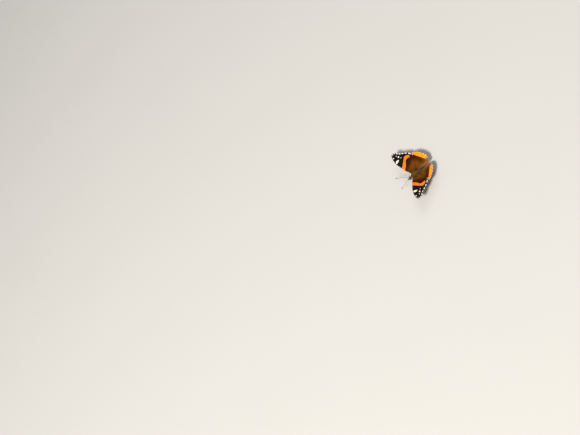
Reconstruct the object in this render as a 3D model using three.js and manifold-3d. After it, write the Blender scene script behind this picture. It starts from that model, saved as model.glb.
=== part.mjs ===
// A red admiral butterfly at rest on a flat surface with its wings open, life size.
// Millimetres, +Z up, head towards -Y, the butterfly's left towards +X, feet on z = 0.
import * as THREE from "three";
import { mergeVertices } from "three/addons/utils/BufferGeometryUtils.js";
import Module from "manifold-3d";

const wasm = await Module();
wasm.setup();

// Driving dimensions
const GAP = 0.3; // between pieces that touch in life

// Wings: where the hinges are, and how the open wings are carried
const ROOT_OUT = 1.8; // hinge from the midline
const FORE_HINGE_FORWARD = 2.0;
const HIND_HINGE_FORWARD = -2.4;
const HINGE_HEIGHT = 7.0;
const DIHEDRAL = THREE.MathUtils.degToRad(12);
const FORE_SWEEP = THREE.MathUtils.degToRad(17.3); // back from the square-set position
const HIND_SWEEP = THREE.MathUtils.degToRad(11.1);
const ARCH_HEIGHT = 0.9; // how far the span bows up between root and tip
const ARCH_SPAN = 30;
const FRONT_LIFT = 0.09; // slope of the raised leading part
const REAR_LIFT = 0.13; // slope of the raised trailing part
const REAR_LIFT_FROM = 9;
const LIFT_SOFTNESS = 4;
const HIND_DROP = 1.12; // hindwing membrane below the forewing membrane that overlaps it
const MEMBRANE = 0.52; // thickness
const MARGIN_MEMBRANE = 0.4;
const VEIN_RISE = 0.12; // ridge over the membrane, on each face
const VEIN_HALF_WIDTH = 0.34;
const LANE = 0.13; // spacing of veins that run together in one stem
const WING_ROWS = [0, 0.1, 0.2, 0.3, 0.4, 0.52, 0.64, 0.77, 0.89, 1];

// Body, as elliptical sections: y, centre z, half width, half height, front to back
const HEAD_SECTIONS = [
  [-8.6, 5.75, 0.5, 0.55],
  [-8.35, 5.8, 0.8, 0.95],
  [-7.8, 5.9, 0.95, 1.25],
  [-7.1, 5.95, 1.0, 1.3],
  [-6.5, 5.9, 0.95, 1.15],
  [-6.0, 5.85, 0.75, 0.85],
];
const THORAX_SECTIONS = [
  [-5.7, 5.85, 0.85, 0.95],
  [-5.2, 5.85, 1.5, 1.55],
  [-4.2, 5.85, 2.1, 2.25],
  [-2.6, 5.9, 2.5, 2.75],
  [-0.6, 5.9, 2.6, 2.9],
  [1.2, 5.75, 2.4, 2.75],
  [2.8, 5.55, 2.05, 2.35],
  [3.8, 5.4, 1.65, 1.9],
  [4.2, 5.35, 1.3, 1.5],
];
const BODY_SIDES = 18;
const ABDOMEN_START = 4.5;
const ABDOMEN_SEGMENTS = 8;
const ABDOMEN_LENGTH = 9.0;
const ABDOMEN_HALF_WIDTHS = [1.4, 1.75, 1.95, 1.98, 1.85, 1.6, 1.25, 0.8, 0.42]; // evenly from front to back
const ABDOMEN_FRONT_Z = 5.35;
const ABDOMEN_TAIL_Z = 5.3;
const SEGMENT_GROOVE = 0.1;

const EYE_RADIUS = 1.0;
const EYE_CENTRE = [1.02, -7.4, 6.0];
const EYE_STRETCH = 1.12; // the eye is a little taller than long

// Vein tips and way points of the left-hand half, in each wing's own plane: outward and forward of
// the hinge, with the wing set square to the body. A branch leaves its stem at the share "leaves".
// "notch" is how deep the margin cuts in towards the next tip, and a negative one bulges.
const FOREWING = {
  forward: FORE_HINGE_FORWARD,
  sweep: FORE_SWEEP,
  drop: 0,
  rootWidth: 2.6,
  stems: {
    radius: [[5.0, 4.3, 0.18], [10.0, 7.1, 0.33], [15.4, 9.6, 0.5], [21.5, 12.7, 0.72], [30.1, 15.3, 1]],
    cubitus: [[5.0, 1.3, 0.18], [10.0, 2.9, 0.33], [15.8, 5.2, 0.5], [26.8, 6.5, 1]],
  },
  veins: [
    { way: [[1.2, 3.0, 0.08], [5.6, 7.2, 0.38], [9.4, 10.1, 0.65], [14.4, 13.8, 1]], notch: -0.1 },
    { stem: "radius", lane: 4, leaves: 0.33, tip: [17.6, 15.4], notch: -0.12 },
    { stem: "radius", lane: 3, leaves: 0.44, tip: [20.9, 16.7], notch: -0.16 },
    { stem: "radius", lane: 2, leaves: 0.6, tip: [24.7, 17.6], notch: -0.2 },
    { stem: "radius", lane: 1, leaves: 0.72, tip: [28.4, 17.6], notch: -0.45 },
    { stem: "radius", lane: 0, leaves: 1, tip: [30.1, 15.3], notch: 0.05 },
    { stem: "radius", lane: -1, leaves: 0.5, tip: [29.7, 12.7], notch: 0.15 },
    { way: [[5.2, 2.8, 0.18], [10.2, 5.0, 0.33], [15.7, 7.5, 0.5], [27.8, 9.9, 1]], starts: 0.5, notch: 0.4 },
    { stem: "cubitus", lane: 0, leaves: 1, tip: [26.8, 6.5], notch: 0.4 },
    { stem: "cubitus", lane: -1, leaves: 0.42, tip: [25.9, 2.9], notch: 0.4 },
    { stem: "cubitus", lane: -2, leaves: 0.27, tip: [24.4, -0.9], notch: 0.3 },
    { way: [[5.0, -1.3, 0.25], [13.0, -2.9, 0.62], [21.2, -5.4, 1]], notch: -0.3 },
    { way: [[1.5, -2.6, 0.1], [6.0, -4.4, 0.3], [13.0, -5.0, 0.64], [19.6, -6.3, 1]], bare: true },
  ],
  crossVein: [[15.4, 9.6], [15.5, 7.5], [15.8, 5.2]],
};
const HINDWING = {
  forward: HIND_HINGE_FORWARD,
  sweep: HIND_SWEEP,
  drop: HIND_DROP,
  rootWidth: 3.4,
  stems: {
    radius: [[3.6, -0.5, 0.18], [8.6, -2.6, 0.4], [21.1, -5.2, 1]],
    cubitus: [[2.8, -2.5, 0.18], [6.6, -6.4, 0.4], [14.9, -14.2, 1]],
  },
  veins: [
    { way: [[0.6, 1.6, 0.08], [6.0, 2.6, 0.32], [13.5, 1.4, 0.66], [19.8, -1.0, 1]], bare: true, notch: -0.2 },
    { way: [[6.0, 0.8, 0.32], [13.5, -0.4, 0.66], [20.9, -2.7, 1]], notch: 0.15 },
    { stem: "radius", lane: 0, leaves: 1, tip: [21.1, -5.2], notch: 0.35 },
    { stem: "radius", lane: -1, leaves: 0.36, tip: [19.8, -8.5], notch: 0.4 },
    { way: [[2.9, -1.2, 0.18], [8.0, -4.6, 0.42], [17.6, -11.5, 1]], starts: 0.42, notch: 0.4 },
    { stem: "cubitus", lane: 0, leaves: 1, tip: [14.9, -14.2], notch: 0.4 },
    { stem: "cubitus", lane: -1, leaves: 0.36, tip: [12.0, -16.6], notch: 0.4 },
    { stem: "cubitus", lane: -2, leaves: 0.24, tip: [8.6, -18.2], notch: 0.35 },
    { way: [[1.2, -4.0, 0.22], [2.3, -10.0, 0.55], [4.5, -18.3, 1]], notch: -0.2 },
    { way: [[0.0, -4.5, 0.26], [0.6, -10.5, 0.6], [2.3, -17.0, 1]], bare: true },
  ],
  crossVein: [[8.6, -2.6], [8.0, -4.6], [6.6, -6.4]],
};

// Legs: the joints outward, forward and up, and the half thickness at each
const MID_LEG = {
  way: [
    [1.2, 0.8, 4.2], [2.3, 1.3, 3.1], [5.9, 2.9, 4.6],
    [9.4, 4.4, 0.62], [10.0, 4.65, 0.24], [13.4, 5.85, 0.22],
  ],
  thick: [0.55, 0.5, 0.32, 0.27, 0.26, 0.25],
};
const HIND_LEG = {
  way: [
    [1.2, -1.5, 4.1], [2.2, -2.3, 3.1], [5.2, -5.3, 4.6],
    [7.9, -9.2, 0.62], [8.3, -9.8, 0.24], [10.4, -13.0, 0.22],
  ],
  thick: [0.55, 0.5, 0.32, 0.27, 0.26, 0.25],
};
const FORE_LEG = {
  way: [[1.0, 3.2, 4.5], [1.6, 4.6, 3.1], [1.75, 6.2, 3.1], [1.5, 7.8, 3.9]],
  thick: [0.45, 0.42, 0.34, 0.22],
};
const JOINT_BEND = 0.5; // length over which a leg bends at a joint, on each side of it
const LEG_SIDES = 8;

// Antenna: a thin shaft that ends in a flattened club
const ANTENNA_ROOT = [0.5, 7.8, 6.8];
const ANTENNA_LENGTH = 15.6;
const ANTENNA_SPREAD = THREE.MathUtils.degToRad(31);
const ANTENNA_RISE = THREE.MathUtils.degToRad(19);
const ANTENNA_SHAFT_RADIUS = 0.26;
const ANTENNA_CLUB_RADIUS = 0.52;
const ANTENNA_CLUB_SHARE = 0.15;

const PALP = {
  way: [[0.56, 8.0, 5.2], [0.6, 8.9, 5.0], [0.58, 9.8, 5.4], [0.52, 10.5, 6.1]],
  thick: [0.3, 0.4, 0.38, 0.18],
};

const TONGUE_RADIUS = 0.25;
const TONGUE_CENTRE = [0, 8.4, 3.6]; // of the coil: outward, forward, up
const TONGUE_TURNS = 1.6;
const TONGUE_INNER = 0.3;
const TONGUE_OUTER = 1.15;

const SMALL = 1e-4;

// Points

const toWorld = ([out, forward, up]) => new THREE.Vector3(out, -forward, up);

// A ramp that is flat below zero, has slope 1 above it, and turns softly between.
const softRamp = (x) => (x + Math.hypot(x, LIFT_SOFTNESS) - LIFT_SOFTNESS / 2) / 2;

// Height of the forewing membrane's middle over the floor, at a place outward and forward of the body's zero.
function sheetHeight(out, forward) {
  const span = out - ROOT_OUT;
  const bow = (4 * ARCH_HEIGHT * span * (ARCH_SPAN - span)) / ARCH_SPAN ** 2;
  const front = FRONT_LIFT * softRamp(forward - FORE_HINGE_FORWARD);
  const rear = REAR_LIFT * softRamp(-forward - REAR_LIFT_FROM);
  return HINGE_HEIGHT + Math.tan(DIHEDRAL) * span + bow + front + rear;
}

// A point of a wing's own plane, carried back by its sweep and up by the sheet.
function placeOnSheet(wing, [u, v], lift) {
  const back = wing.sweep;
  const out = ROOT_OUT + (u * Math.cos(back) + v * Math.sin(back)) * Math.cos(DIHEDRAL);
  const forward = wing.forward + v * Math.cos(back) - u * Math.sin(back);
  return toWorld([out, forward, sheetHeight(out, forward) - wing.drop + lift]);
}

// Solids

// One closed solid from a geometry, and the geometry of its largest closed surface.
function solidOf(geometry) {
  const bare = geometry.clone();
  bare.deleteAttribute("normal");
  bare.deleteAttribute("uv");
  const merged = mergeVertices(bare, SMALL);
  const mesh = new wasm.Mesh({
    numProp: 3,
    vertProperties: merged.attributes.position.array,
    triVerts: new Uint32Array(merged.index.array),
  });
  return new wasm.Manifold(mesh);
}

function geometryOf(solid) {
  const pieces = solid.decompose();
  const largest = pieces.reduce((a, b) => (a.volume() > b.volume() ? a : b));
  const mesh = largest.getMesh();
  const geometry = new THREE.BufferGeometry();
  geometry.setAttribute("position", new THREE.BufferAttribute(mesh.vertProperties, 3));
  geometry.setIndex(new THREE.BufferAttribute(mesh.triVerts, 1));
  geometry.computeVertexNormals();
  return geometry;
}

// A surface of rings of points, closed by a fan over each end ring.
function ringGeometry(rings) {
  const sides = rings[0].length;
  const positions = rings.flat().flatMap((p) => [p.x, p.y, p.z]);
  const index = [];
  for (let r = 0; r + 1 < rings.length; r++) {
    for (let k = 0; k < sides; k++) {
      const a = r * sides + k;
      const b = r * sides + ((k + 1) % sides);
      index.push(a, b, b + sides, a, b + sides, a + sides);
    }
  }
  for (const [r, flip] of [[0, true], [rings.length - 1, false]]) {
    const middle = rings[r].reduce((sum, p) => sum.add(p), new THREE.Vector3()).divideScalar(sides);
    const centre = positions.push(middle.x, middle.y, middle.z) / 3 - 1;
    for (let k = 0; k < sides; k++) {
      const a = r * sides + k;
      const b = r * sides + ((k + 1) % sides);
      index.push(...(flip ? [b, a, centre] : [a, b, centre]));
    }
  }
  const geometry = new THREE.BufferGeometry();
  geometry.setAttribute("position", new THREE.Float32BufferAttribute(positions, 3));
  geometry.setIndex(index);
  return geometry;
}

// A body form from its elliptical sections, larger by "grow" on every side.
function bodyGeometry(sections, grow = 0) {
  const last = sections.length - 1;
  const rings = sections.map(([y, z, halfWidth, halfHeight], i) => {
    const endShift = i === 0 ? -grow : i === last ? grow : 0;
    return Array.from({ length: BODY_SIDES }, (_, k) => {
      const angle = (2 * Math.PI * k) / BODY_SIDES;
      const x = (halfWidth + grow) * Math.sin(angle);
      const up = (halfHeight + grow) * Math.cos(angle);
      return new THREE.Vector3(x, y + endShift, z + up);
    });
  });
  return ringGeometry(rings);
}

// A tapering tube through way points, with a half thickness at each.
function tubeGeometry(points, thick, sides, steps) {
  const curve = new THREE.CatmullRomCurve3(points, false, "centripetal");
  const count = steps * (points.length - 1);
  const frames = curve.computeFrenetFrames(count, false);
  const rings = Array.from({ length: count + 1 }, (_, i) => {
    const t = i / count;
    const centre = curve.getPointAt(t);
    const reach = curve.getUtoTmapping(t) * (thick.length - 1);
    const before = Math.min(Math.floor(reach), thick.length - 2);
    const radius = THREE.MathUtils.lerp(thick[before], thick[before + 1], reach - before);
    return Array.from({ length: sides }, (_, k) => {
      const angle = (2 * Math.PI * (k + 0.5)) / sides;
      const across = frames.normals[i].clone().multiplyScalar(radius * Math.cos(angle));
      const along = frames.binormals[i].clone().multiplyScalar(radius * Math.sin(angle));
      return centre.clone().add(across).add(along);
    });
  });
  return ringGeometry(rings);
}

const mirrored = (geometry) => {
  const copy = geometry.clone().applyMatrix4(new THREE.Matrix4().makeScale(-1, 1, 1));
  const index = copy.index.array;
  for (let i = 0; i < index.length; i += 3) [index[i + 1], index[i + 2]] = [index[i + 2], index[i + 1]];
  copy.computeVertexNormals();
  return copy;
};

// Wings

// A path through way points [outward, forward, share], read at a share of its length.
function readPath(way, root, share) {
  const stops = [[...root, 0], ...way];
  const curve = new THREE.CatmullRomCurve3(
    stops.map(([u, v]) => new THREE.Vector3(u, v, 0)),
    false,
    "centripetal",
  );
  const k = Math.max(stops.findIndex((stop) => stop[2] >= share), 1);
  const t = (share - stops[k - 1][2]) / (stops[k][2] - stops[k - 1][2]);
  const p = curve.getPoint((k - 1 + t) / (stops.length - 1));
  return [p.x, p.y];
}

// Where a vein runs at a share of its length: along its stem in its own lane, and past "leaves" by itself.
function veinPoint(wing, vein, order, share) {
  const rootForward = wing.rootWidth * (0.5 - order / (wing.veins.length - 1));
  const root = [-0.6, rootForward];
  if (vein.way) return readPath(vein.way, root, share);
  const stemRoot = [-0.6, rootForward - vein.lane * LANE];
  const onStem = (at) => {
    const here = readPath(wing.stems[vein.stem], stemRoot, at);
    const ahead = readPath(wing.stems[vein.stem], stemRoot, Math.min(at + 0.02, 1));
    const behind = readPath(wing.stems[vein.stem], stemRoot, Math.max(at - 0.02, 0));
    const along = new THREE.Vector2(ahead[0] - behind[0], ahead[1] - behind[1]).normalize();
    const lane = vein.leaves < 1 ? vein.lane * LANE : 0;
    return { point: [here[0] - along.y * lane, here[1] + along.x * lane], along };
  };
  if (share <= vein.leaves) return onStem(share).point;
  const { point: from, along } = onStem(vein.leaves);
  const length = Math.hypot(vein.tip[0] - from[0], vein.tip[1] - from[1]);
  const bend = [from[0] + along.x * length * 0.35, from[1] + along.y * length * 0.35];
  const t = (share - vein.leaves) / (1 - vein.leaves);
  const mix = (a, b, c) => (1 - t) ** 2 * a + 2 * t * (1 - t) * b + t ** 2 * c;
  return [0, 1].map((i) => mix(from[i], bend[i], vein.tip[i]));
}

// The wing's lines from root to margin, costal edge first: each vein with a foot on each side, and one
// line down the middle of each cell, which the margin's notch shortens.
function wingLines(wing) {
  const veinLine = (vein, order) => WING_ROWS.map((share) => veinPoint(wing, vein, order, share));
  const veinLines = wing.veins.map(veinLine);
  const between = (a, b, t) => [THREE.MathUtils.lerp(a[0], b[0], t), THREE.MathUtils.lerp(a[1], b[1], t)];
  const footShare = (a, b) => Math.min(VEIN_HALF_WIDTH / Math.hypot(a[0] - b[0], a[1] - b[1]), 0.3);
  const lines = [];
  veinLines.forEach((line, i) => {
    const vein = wing.veins[i];
    lines.push(line);
    if (i + 1 === veinLines.length) return;
    const next = veinLines[i + 1];
    if (!vein.bare) lines.push(line.map((p, r) => between(p, next[r], footShare(p, next[r]))));
    const middle = line.map((p, r) => between(p, next[r], 0.5));
    const edge = middle[middle.length - 1];
    const inner = middle[middle.length - 2];
    const cellLength = Math.hypot(edge[0] - inner[0], edge[1] - inner[1]);
    middle[middle.length - 1] = between(edge, inner, vein.notch / cellLength);
    lines.push(middle);
    if (!wing.veins[i + 1].bare) lines.push(line.map((p, r) => between(next[r], p, footShare(p, next[r]))));
  });
  return lines;
}

// How far the surface stands over the plain membrane: a ridge along each vein and the cell's end.
function ridgeFunction(wing) {
  const paths = wing.veins
    .map((vein, order) => ({ vein, order }))
    .filter(({ vein }) => !vein.bare)
    .map(({ vein, order }) => {
      const shares = WING_ROWS.filter((share) => share >= (vein.starts ?? 0));
      return shares.map((share) => veinPoint(wing, vein, order, share));
    });
  paths.push(wing.crossVein);
  const segment = new THREE.Line3();
  const nearest = new THREE.Vector3();
  return ([u, v]) => {
    const here = new THREE.Vector3(u, v, 0);
    let distance = Infinity;
    for (const path of paths) {
      for (let i = 0; i + 1 < path.length; i++) {
        segment.start.set(...path[i], 0);
        segment.end.set(...path[i + 1], 0);
        segment.closestPointToPoint(here, true, nearest);
        distance = Math.min(distance, nearest.distanceTo(here));
      }
    }
    return VEIN_RISE * Math.max(0, 1 - distance / VEIN_HALF_WIDTH);
  };
}

// A closed membrane whose two faces are split into triangles alike.
function wingGeometry(wing) {
  const lines = wingLines(wing);
  const ridge = ridgeFunction(wing);
  const rows = WING_ROWS.length;
  const columns = lines.length;
  const positions = [];
  for (const face of [1, -1]) {
    lines.forEach((line, j) => {
      line.forEach((point, i) => {
        const onEdge = i === rows - 1 || j === 0 || j === columns - 1;
        const half = (onEdge ? MARGIN_MEMBRANE : MEMBRANE) / 2;
        positions.push(...placeOnSheet(wing, point, face * (half + ridge(point))).toArray());
      });
    });
  }
  const top = (i, j) => j * rows + i;
  const under = (i, j) => columns * rows + top(i, j);
  const index = [];
  const quad = (a, b, c, d) => index.push(a, b, c, a, c, d);
  for (let j = 0; j + 1 < columns; j++) {
    for (let i = 0; i + 1 < rows; i++) {
      quad(top(i, j), top(i + 1, j), top(i + 1, j + 1), top(i, j + 1));
      quad(under(i, j), under(i, j + 1), under(i + 1, j + 1), under(i + 1, j));
    }
    quad(top(0, j), top(0, j + 1), under(0, j + 1), under(0, j));
    quad(top(rows - 1, j), under(rows - 1, j), under(rows - 1, j + 1), top(rows - 1, j + 1));
  }
  for (let i = 0; i + 1 < rows; i++) {
    quad(top(i, 0), under(i, 0), under(i + 1, 0), top(i + 1, 0));
    quad(top(i, columns - 1), top(i + 1, columns - 1), under(i + 1, columns - 1), under(i, columns - 1));
  }
  const geometry = new THREE.BufferGeometry();
  geometry.setAttribute("position", new THREE.Float32BufferAttribute(positions, 3));
  geometry.setIndex(index);
  return geometry;
}

// Abdomen: rings that tighten to a groove between its segments
function abdomenSections() {
  const sections = [];
  const profile = new THREE.SplineCurve(ABDOMEN_HALF_WIDTHS.map((half, i) => new THREE.Vector2(i, half)));
  for (let segment = 0; segment < ABDOMEN_SEGMENTS; segment++) {
    for (const within of [0.06, 0.5, 0.94]) {
      const t = (segment + within) / ABDOMEN_SEGMENTS;
      const groove = within === 0.5 ? 0 : SEGMENT_GROOVE;
      const half = profile.getPoint(t).y - groove;
      const z = THREE.MathUtils.lerp(ABDOMEN_FRONT_Z, ABDOMEN_TAIL_Z, t);
      sections.push([ABDOMEN_START + t * ABDOMEN_LENGTH, z, half, half * 0.98]);
    }
  }
  return sections;
}

// Pieces

const thorax = solidOf(bodyGeometry(THORAX_SECTIONS));
const thoraxClear = solidOf(bodyGeometry(THORAX_SECTIONS, GAP));
const head = solidOf(bodyGeometry(HEAD_SECTIONS));
const headClear = solidOf(bodyGeometry(HEAD_SECTIONS, GAP));
const abdomen = solidOf(bodyGeometry(abdomenSections()));
const abdomenClear = solidOf(bodyGeometry(abdomenSections(), GAP));

const overFloor = solidOf(new THREE.BoxGeometry(200, 200, 100).translate(0, 0, 50));

const forewing = solidOf(wingGeometry(FOREWING)).subtract(thoraxClear);
const hindwing = solidOf(wingGeometry(HINDWING)).subtract(thoraxClear).subtract(abdomenClear);

// Straight limbs between joints: each inner joint becomes one ring before it and one after it.
function leg({ way, thick }) {
  const joints = way.map(toWorld);
  const points = [];
  const radii = [];
  joints.forEach((joint, i) => {
    const sides = i === 0 || i === joints.length - 1 ? [0] : [-1, 1];
    for (const side of sides) {
      const towards = joints[i + side] ?? joint;
      const reach = Math.min(JOINT_BEND, towards.distanceTo(joint) * 0.45);
      points.push(joint.clone().add(towards.clone().sub(joint).setLength(side === 0 ? 0 : reach)));
      radii.push(thick[i]);
    }
  });
  const rings = [];
  points.forEach((point, i) => {
    const before = points[Math.max(i - 1, 0)];
    const after = points[Math.min(i + 1, points.length - 1)];
    const along = after.clone().sub(before).normalize();
    const level = new THREE.Vector3(-along.y, along.x, 0).normalize();
    const upright = along.clone().cross(level);
    rings.push(
      Array.from({ length: LEG_SIDES }, (_, k) => {
        const angle = (2 * Math.PI * (k + 0.5)) / LEG_SIDES;
        const across = level.clone().multiplyScalar(radii[i] * Math.cos(angle));
        return point.clone().add(across).add(upright.clone().multiplyScalar(radii[i] * Math.sin(angle)));
      }),
    );
  });
  return solidOf(ringGeometry(rings)).subtract(thoraxClear).intersect(overFloor);
}

function eyeSolid(grow) {
  const ball = new THREE.SphereGeometry(EYE_RADIUS + grow, 18, 12).rotateZ(Math.PI / 2);
  return solidOf(ball.scale(1, 1, EYE_STRETCH).translate(...EYE_CENTRE));
}

function antennaGeometry() {
  const [out, forward, up] = ANTENNA_ROOT;
  const stops = [0, 0.25, 0.5, 0.75, 1 - ANTENNA_CLUB_SHARE, 1 - ANTENNA_CLUB_SHARE / 2, 1];
  const way = stops.map((share) => {
    const along = ANTENNA_LENGTH * share;
    const rise = ANTENNA_RISE * (1.25 - 0.5 * share);
    return toWorld([
      out + along * Math.sin(ANTENNA_SPREAD) * Math.cos(rise),
      forward + along * Math.cos(ANTENNA_SPREAD) * Math.cos(rise),
      up + along * Math.sin(rise),
    ]);
  });
  const shaft = ANTENNA_SHAFT_RADIUS;
  const thick = [shaft, shaft, shaft, shaft, shaft, ANTENNA_CLUB_RADIUS, shaft];
  return tubeGeometry(way, thick, LEG_SIDES, 2);
}

function tongueGeometry() {
  const [out, forward, up] = TONGUE_CENTRE;
  const count = 16;
  const way = Array.from({ length: count + 1 }, (_, i) => {
    const t = i / count;
    const radius = THREE.MathUtils.lerp(TONGUE_OUTER, TONGUE_INNER, t);
    const angle = Math.PI * 0.62 - 2 * Math.PI * TONGUE_TURNS * t;
    return toWorld([out, forward + radius * Math.cos(angle), up + radius * Math.sin(angle)]);
  });
  return tubeGeometry(way, [TONGUE_RADIUS, TONGUE_RADIUS * 0.9], 6, 1);
}

const eye = eyeSolid(0).subtract(headClear);
const eyeClear = eyeSolid(GAP);
const antenna = solidOf(antennaGeometry()).subtract(headClear).subtract(eyeClear);
const palpWay = PALP.way.map(toWorld);
const palpGeometry = (grow) => tubeGeometry(palpWay, PALP.thick.map((r) => r + grow), LEG_SIDES, 3);
const palp = solidOf(palpGeometry(0)).subtract(headClear).subtract(eyeClear);
const palpClear = solidOf(palpGeometry(GAP));
const tongue = solidOf(tongueGeometry()).subtract(headClear).subtract(palpClear);

// Materials

const matt = (color, roughness = 0.8) => new THREE.MeshStandardMaterial({ color, roughness, metalness: 0 });
const MATERIALS = {
  body: matt(0x2a1a10, 0.9),
  eye: matt(0x3a2214, 0.25),
  antenna: matt(0x17120f, 0.5),
  palp: matt(0x6a4a2c, 0.85),
  tongue: matt(0x2a1a10, 0.4),
  forewing: matt(0x2b1509, 0.75),
  hindwing: matt(0x5a2c10, 0.75),
  leg: matt(0x5b4028, 0.6),
};

const butterfly = new THREE.Group();

function addPiece(name, solid, material) {
  const mesh = new THREE.Mesh(geometryOf(solid), MATERIALS[material]);
  mesh.name = name;
  butterfly.add(mesh);
  return mesh;
}

// The solid is the left-hand piece, and its mirror image is the right-hand one.
function addPair(name, solid, material) {
  const left = addPiece(`${name}_left`, solid, material);
  const right = new THREE.Mesh(mirrored(left.geometry), MATERIALS[material]);
  right.name = `${name}_right`;
  butterfly.add(right);
}

addPiece("head", head, "body");
addPiece("thorax", thorax, "body");
addPiece("abdomen", abdomen, "body");
addPiece("proboscis", tongue, "tongue");
addPair("eye", eye, "eye");
addPair("antenna", antenna, "antenna");
addPair("palp", palp, "palp");
addPair("forewing", forewing, "forewing");
addPair("hindwing", hindwing, "hindwing");
addPair("foreleg", leg(FORE_LEG), "leg");
addPair("midleg", leg(MID_LEG), "leg");
addPair("hindleg", leg(HIND_LEG), "leg");

// The origin is the middle of the box's floor.
const box = new THREE.Box3().setFromObject(butterfly);
const middle = box.getCenter(new THREE.Vector3());
for (const piece of butterfly.children) piece.geometry.translate(0, -middle.y, -box.min.z);

export default butterfly;
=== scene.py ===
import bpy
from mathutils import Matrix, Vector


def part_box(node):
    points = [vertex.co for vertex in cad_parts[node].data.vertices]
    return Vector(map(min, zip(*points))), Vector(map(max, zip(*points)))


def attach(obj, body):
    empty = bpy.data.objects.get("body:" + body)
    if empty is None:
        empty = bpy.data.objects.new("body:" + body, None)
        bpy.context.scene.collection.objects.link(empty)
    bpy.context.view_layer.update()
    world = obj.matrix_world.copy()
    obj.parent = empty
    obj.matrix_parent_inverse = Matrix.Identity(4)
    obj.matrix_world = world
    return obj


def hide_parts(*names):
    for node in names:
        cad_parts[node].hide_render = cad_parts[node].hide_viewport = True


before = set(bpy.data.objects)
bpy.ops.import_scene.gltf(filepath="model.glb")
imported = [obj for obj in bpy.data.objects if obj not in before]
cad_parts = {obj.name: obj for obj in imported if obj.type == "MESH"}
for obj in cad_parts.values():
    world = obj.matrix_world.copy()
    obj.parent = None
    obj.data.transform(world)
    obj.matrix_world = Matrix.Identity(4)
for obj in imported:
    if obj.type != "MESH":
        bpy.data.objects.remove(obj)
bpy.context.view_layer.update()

import math

import bpy
import numpy as np
from mathutils import Matrix, Vector

bl_info = {
    "name": "Red admiral butterfly",
    "version": (1, 0, 0),
    "blender": (4, 5, 0),
    "location": "View3D > Sidebar > Butterfly",
    "description": "Builds a life-size red admiral with open wings, its coat, and a plain studio stage",
    "category": "Mesh",
}

MM = 0.001
SIDES = {"left": 1, "right": -1}
THORAX_FRONT = 5.7  # the front of the thorax, forward of the body's zero, in millimetres
BODY_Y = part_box("thorax")[0][1] / MM + THORAX_FRONT  # the row frame's y at the body's zero

# The wing sheets, in millimetres: the same hinges, slopes and veins that the solids have
ROOT_OUT = 1.8
FORE_HINGE_FORWARD = 2.0
HIND_HINGE_FORWARD = -2.4
HINGE_HEIGHT = 7.0
DIHEDRAL = math.radians(12)
FORE_SWEEP = math.radians(17.3)
HIND_SWEEP = math.radians(11.1)
ARCH_HEIGHT = 0.9
ARCH_SPAN = 30
FRONT_LIFT = 0.09
REAR_LIFT = 0.13
REAR_LIFT_FROM = 9
LIFT_SOFTNESS = 4
HIND_DROP = 1.12
LANE = 0.13
VEIN_ROOT = -0.6  # where the veins begin, outward of the hinge
STEM_STEP = 0.02  # share of a stem over which its direction is taken
BRANCH_BEND = 0.35  # how far a branch keeps to its stem's direction, as a share of its reach
OUTLINE_STEP = 0.2  # of the way between two corners of an outline
WING_ROWS = 76
CELL_STOPS = (0, 0.05, 0.11, 0.2, 0.34, 0.5, 0.66, 0.8, 0.89, 0.95)

FOREWING = {
    "forward": FORE_HINGE_FORWARD,
    "sweep": FORE_SWEEP,
    "drop": 0,
    "root_width": 2.6,
    "stems": {
        "radius": [
            (5.0, 4.3, 0.18), (10.0, 7.1, 0.33), (15.4, 9.6, 0.5), (21.5, 12.7, 0.72), (30.1, 15.3, 1),
        ],
        "cubitus": [(5.0, 1.3, 0.18), (10.0, 2.9, 0.33), (15.8, 5.2, 0.5), (26.8, 6.5, 1)],
    },
    "veins": [
        {"way": [(1.2, 3.0, 0.08), (5.6, 7.2, 0.38), (9.4, 10.1, 0.65), (14.4, 13.8, 1)], "notch": -0.1},
        {"stem": "radius", "lane": 4, "leaves": 0.33, "tip": (17.6, 15.4), "notch": -0.12},
        {"stem": "radius", "lane": 3, "leaves": 0.44, "tip": (20.9, 16.7), "notch": -0.16},
        {"stem": "radius", "lane": 2, "leaves": 0.6, "tip": (24.7, 17.6), "notch": -0.2},
        {"stem": "radius", "lane": 1, "leaves": 0.72, "tip": (28.4, 17.6), "notch": -0.45},
        {"stem": "radius", "lane": 0, "leaves": 1, "tip": (30.1, 15.3), "notch": 0.05},
        {"stem": "radius", "lane": -1, "leaves": 0.5, "tip": (29.7, 12.7), "notch": 0.15},
        {
            "way": [(5.2, 2.8, 0.18), (10.2, 5.0, 0.33), (15.7, 7.5, 0.5), (27.8, 9.9, 1)],
            "starts": 0.5,
            "notch": 0.4,
        },
        {"stem": "cubitus", "lane": 0, "leaves": 1, "tip": (26.8, 6.5), "notch": 0.4},
        {"stem": "cubitus", "lane": -1, "leaves": 0.42, "tip": (25.9, 2.9), "notch": 0.4},
        {"stem": "cubitus", "lane": -2, "leaves": 0.27, "tip": (24.4, -0.9), "notch": 0.3},
        {"way": [(5.0, -1.3, 0.25), (13.0, -2.9, 0.62), (21.2, -5.4, 1)], "notch": -0.3},
        {"way": [(1.5, -2.6, 0.1), (6.0, -4.4, 0.3), (13.0, -5.0, 0.64), (19.6, -6.3, 1)], "bare": True},
    ],
    "cross_vein": [(15.4, 9.6), (15.5, 7.5), (15.8, 5.2)],
    "first_margin_vein": 4,
}
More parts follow.
